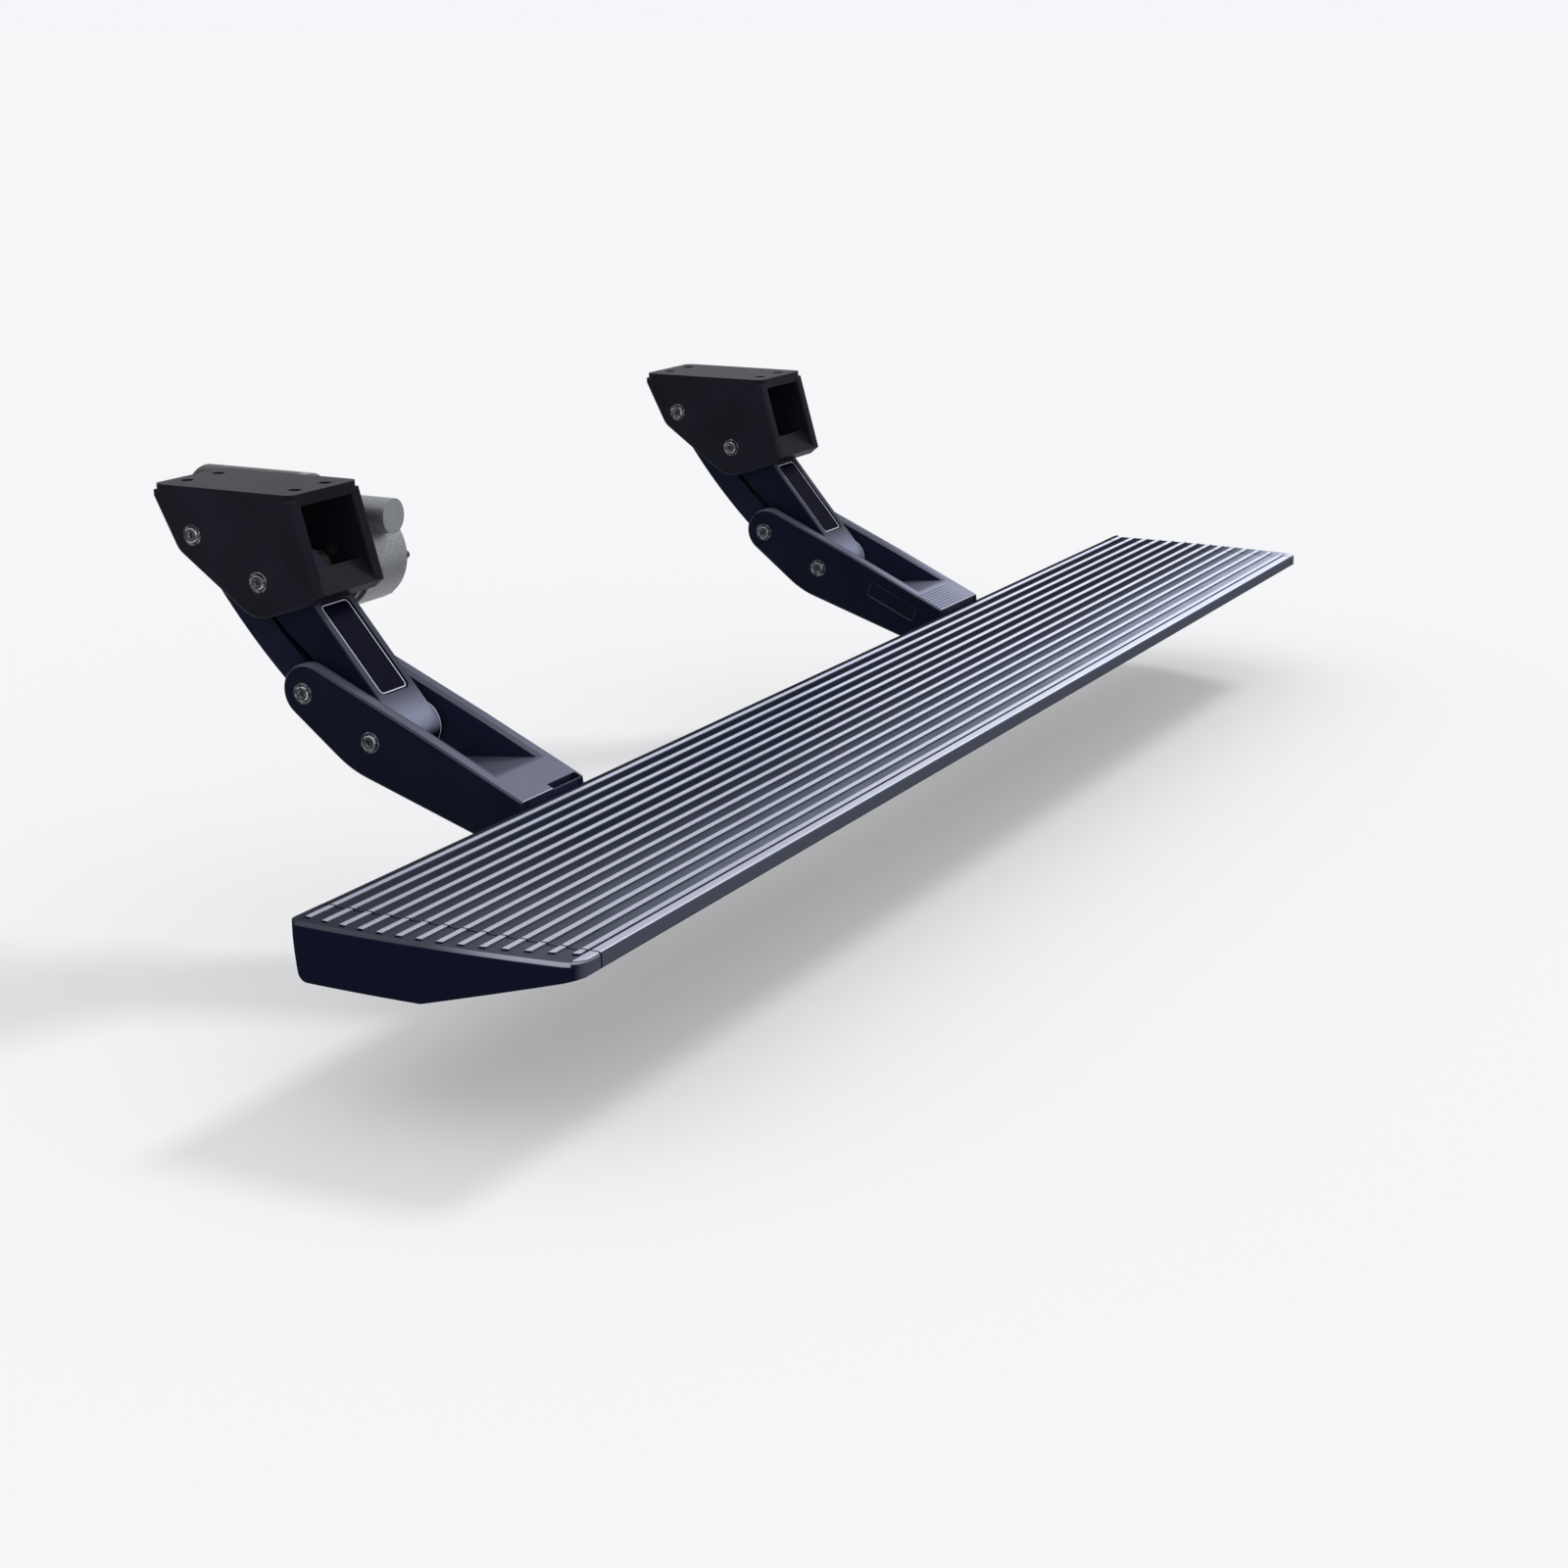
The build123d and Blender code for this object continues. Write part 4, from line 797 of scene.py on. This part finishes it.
class SIDE_STEP_OT_hardware(bpy.types.Operator):
    """Finish of pins, rings, screws, bushes and bolts"""

    bl_idname = "side_step.hardware"
    bl_label = "Pivot hardware"

    def execute(self, context):
        rings = turned_metal("ring_steel", flat=(0.012, 0.013, 0.018), glint_colour=(0.9, 0.91, 0.94))
        dress(nodes_named("_rings", "_ring"), rings)
        screws = turned_metal("screw_steel", flat=(0.03, 0.032, 0.04), glint_colour=(0.55, 0.56, 0.6))
        dress(nodes_named("_pivot_screws", "shaft_screw"), screws)
        pins = bare_metal("pin_steel", colour=(0.5, 0.5, 0.52), roughness=0.3)
        dress(nodes_named("_pin", "bracket_spacers", "_spacer", "drive_shaft"), pins)
        nylon = moulded_plastic("spacer_nylon", colour=(0.8, 0.8, 0.78), roughness=0.4, edge=0.0004)
        dress(nodes_named("_arm_spacers"), nylon)
        bronze = bare_metal("bush_bronze", colour=(0.42, 0.27, 0.12), roughness=0.4)
        dress(nodes_named("_bush", "shaft_bearings"), bronze)
        bolts = bare_metal("bolt_steel", colour=(0.06, 0.06, 0.065), roughness=0.42, metallic=0.8)
        dress(["arm_bolts", "slot_nuts", "cover_screws", "gearbox_screws"], bolts)
        return {"FINISHED"}


class SIDE_STEP_OT_drive(bpy.types.Operator):
    """Finish of the gearbox and the motor"""

    bl_idname = "side_step.drive"
    bl_label = "Gearbox and motor"

    def execute(self, context):
        look = context.scene.side_step_finish
        case = cast_metal("case_metal", colour=(0.3, 0.31, 0.33), roughness=0.42)
        dress(["gear_case", "gear_cover"], case)
        can = powder_coat("motor_paint", look, colour=(0.012, 0.012, 0.015), shine=0.3)
        dress(["motor_can"], can)
        socket = moulded_plastic("socket_plastic", colour=(0.02, 0.02, 0.022), roughness=0.45, edge=0.0005)
        dress(["power_socket"], socket)
        brass = bare_metal("contact_brass", colour=(0.7, 0.52, 0.22), roughness=0.3)
        dress(["socket_pins"], brass)
        wheel = bare_metal("gear_bronze", colour=(0.55, 0.36, 0.14), roughness=0.36)
        dress(["worm_wheel"], wheel)
        ground = bare_metal("ground_steel", colour=(0.52, 0.52, 0.54), roughness=0.25)
        dress(["worm_shaft", "motor_bearings"], ground)
        core = bare_metal("core_steel", colour=(0.25, 0.24, 0.24), roughness=0.45, stretch=(1, 0.5, 1))
        dress(["armature"], core)
        magnets = bare_metal("magnet_grey", colour=(0.08, 0.08, 0.085), roughness=0.6, metallic=0.4)
        dress(["motor_magnets"], magnets)
        return {"FINISHED"}


class SIDE_STEP_OT_studio(bpy.types.Operator):
    """Camera, floor and light"""

    bl_idname = "side_step.studio"
    bl_label = "Studio"

    def execute(self, context):
        scene = context.scene
        studio = scene.side_step_studio
        self.add_camera(scene, studio)
        self.add_floor(scene, studio)
        self.add_sky(scene, studio)
        self.add_key(scene, studio)
        scene.view_settings.view_transform = "Standard"
        return {"FINISHED"}

    def add_camera(self, scene, studio):
        """Camera at the photograph's place and lens."""
        camera = bpy.data.objects.new("camera", bpy.data.cameras.new("camera"))
        camera.data.lens = studio.lens
        camera.data.sensor_width = 36.0
        camera.data.clip_end = 500.0
        ahead = Vector(studio.view).normalized()
        right = ahead.cross(Vector((0, 0, 1))).normalized()
        up = right.cross(ahead)
        turn = Matrix((right, up, -ahead)).transposed().to_4x4() @ Matrix.Rotation(studio.roll, 4, "Z")
        camera.matrix_world = Matrix.Translation(Vector(studio.eye)) @ turn
        scene.collection.objects.link(camera)
        scene.camera = camera

    def add_floor(self, scene, studio):
        """Wide flat floor: a 2 by 2 grid of points at one height."""
        low = TREAD_TOP - studio.floor_drop
        grid = np.array([(-1, -1), (1, -1), (1, 1), (-1, 1)], float) * FLOOR_REACH
        points = np.column_stack([grid, np.full(4, low)])
        mesh = bpy.data.meshes.new("floor")
        mesh.from_pydata(points.tolist(), [], [(0, 1, 2, 3)])
        mesh.materials.append(self.floor_paint(studio))
        floor = bpy.data.objects.new("floor", mesh)
        scene.collection.objects.link(floor)

    def floor_paint(self, studio):
        """Matt floor, its shadows lightened where the camera looks, and clear from below."""
        paint = Paint("floor_paint")
        tone = paint.noise(1.5, 2)
        colour = paint.mix(tone, shade(studio.floor_colour, 0.985), studio.floor_colour)
        paint.finish(Base_Color=colour, Roughness=0.9, Specular_IOR_Level=0.1)
        lit = Wire(paint, paint.output.inputs["Surface"].links[0].from_socket)
        inputs = {"Color": full(studio.floor_colour), "Strength": studio.fill_light}
        glow = paint.node("ShaderNodeEmission", {}, inputs)
        share = paint.seen() * studio.shadow_fill
        both = paint.node("ShaderNodeMixShader", {}, {0: share, 1: lit, 2: glow})
        below = paint.node("ShaderNodeNewGeometry", output="Backfacing")
        clear = paint.node("ShaderNodeBsdfTransparent")
        both = paint.node("ShaderNodeMixShader", {}, {0: below, 1: both, 2: clear})
        paint.tree.links.new(both.socket, paint.output.inputs["Surface"])
        return paint.material

    def add_sky(self, scene, studio):
        """Even white sky, plain white where the camera or a reflection sees it."""
        world = bpy.data.worlds.new("sky")
        world.use_nodes = True
        nodes = world.node_tree.nodes
        links = world.node_tree.links
        nodes.clear()
        path = nodes.new("ShaderNodeLightPath")
        seen = path.outputs["Is Camera Ray"]
        for kind in ("Is Glossy Ray", "Is Transmission Ray"):
            either = nodes.new("ShaderNodeMath")
            either.operation = "MAXIMUM"
            links.new(seen, either.inputs[0])
            links.new(path.outputs[kind], either.inputs[1])
            seen = either.outputs[0]
        strength = nodes.new("ShaderNodeMapRange")
        links.new(seen, strength.inputs["Value"])
        strength.inputs["To Min"].default_value = studio.world_light
        strength.inputs["To Max"].default_value = studio.backdrop_light
        shine = nodes.new("ShaderNodeBackground")
        shine.inputs["Color"].default_value = full(studio.sky_colour)
        links.new(strength.outputs[0], shine.inputs["Strength"])
        output = nodes.new("ShaderNodeOutputWorld")
        links.new(shine.outputs[0], output.inputs["Surface"])
        scene.world = world

    def add_key(self, scene, studio):
        """Soft main light from above and beyond the board's far end."""
        key = bpy.data.lights.new("key", "SUN")
        key.energy = studio.key_light
        key.angle = studio.key_spread
        lamp = bpy.data.objects.new("key", key)
        lamp.rotation_euler = Vector(studio.key_from).to_track_quat("Z", "Y").to_euler()
        scene.collection.objects.link(lamp)


class SIDE_STEP_PT_panel(bpy.types.Panel):
    """Settings and steps of the side step"""

    bl_idname = "SIDE_STEP_PT_panel"
    bl_label = "Side step"
    bl_space_type = "VIEW_3D"
    bl_region_type = "UI"
    bl_category = "Side step"

    def draw(self, context):
        for settings in (context.scene.side_step_finish, context.scene.side_step_studio):
            for name in settings.bl_rna.properties.keys():
                if name not in ("rna_type", "name"):
                    self.layout.prop(settings, name)
        for name in STEPS:
            self.layout.operator(f"side_step.{name}")


STEPS = ("studio", "board", "end_caps", "arms", "links", "brackets", "hardware", "drive")
CLASSES = (
    SideStepFinish,
    SideStepStudio,
    SIDE_STEP_OT_studio,
    SIDE_STEP_OT_board,
    SIDE_STEP_OT_end_caps,
    SIDE_STEP_OT_arms,
    SIDE_STEP_OT_links,
    SIDE_STEP_OT_brackets,
    SIDE_STEP_OT_hardware,
    SIDE_STEP_OT_drive,
    SIDE_STEP_PT_panel,
)


def register():
    """Register the classes and their settings."""
    for item in CLASSES:
        bpy.utils.register_class(item)
    bpy.types.Scene.side_step_finish = PointerProperty(type=SideStepFinish)
    bpy.types.Scene.side_step_studio = PointerProperty(type=SideStepStudio)


def unregister():
    """Take the settings and classes off again."""
    del bpy.types.Scene.side_step_studio
    del bpy.types.Scene.side_step_finish
    for item in reversed(CLASSES):
        bpy.utils.unregister_class(item)


def main():
    """Run every step in order."""
    register()
    for name in STEPS:
        getattr(bpy.ops.side_step, name)()


if __name__ == "__main__":
    main()
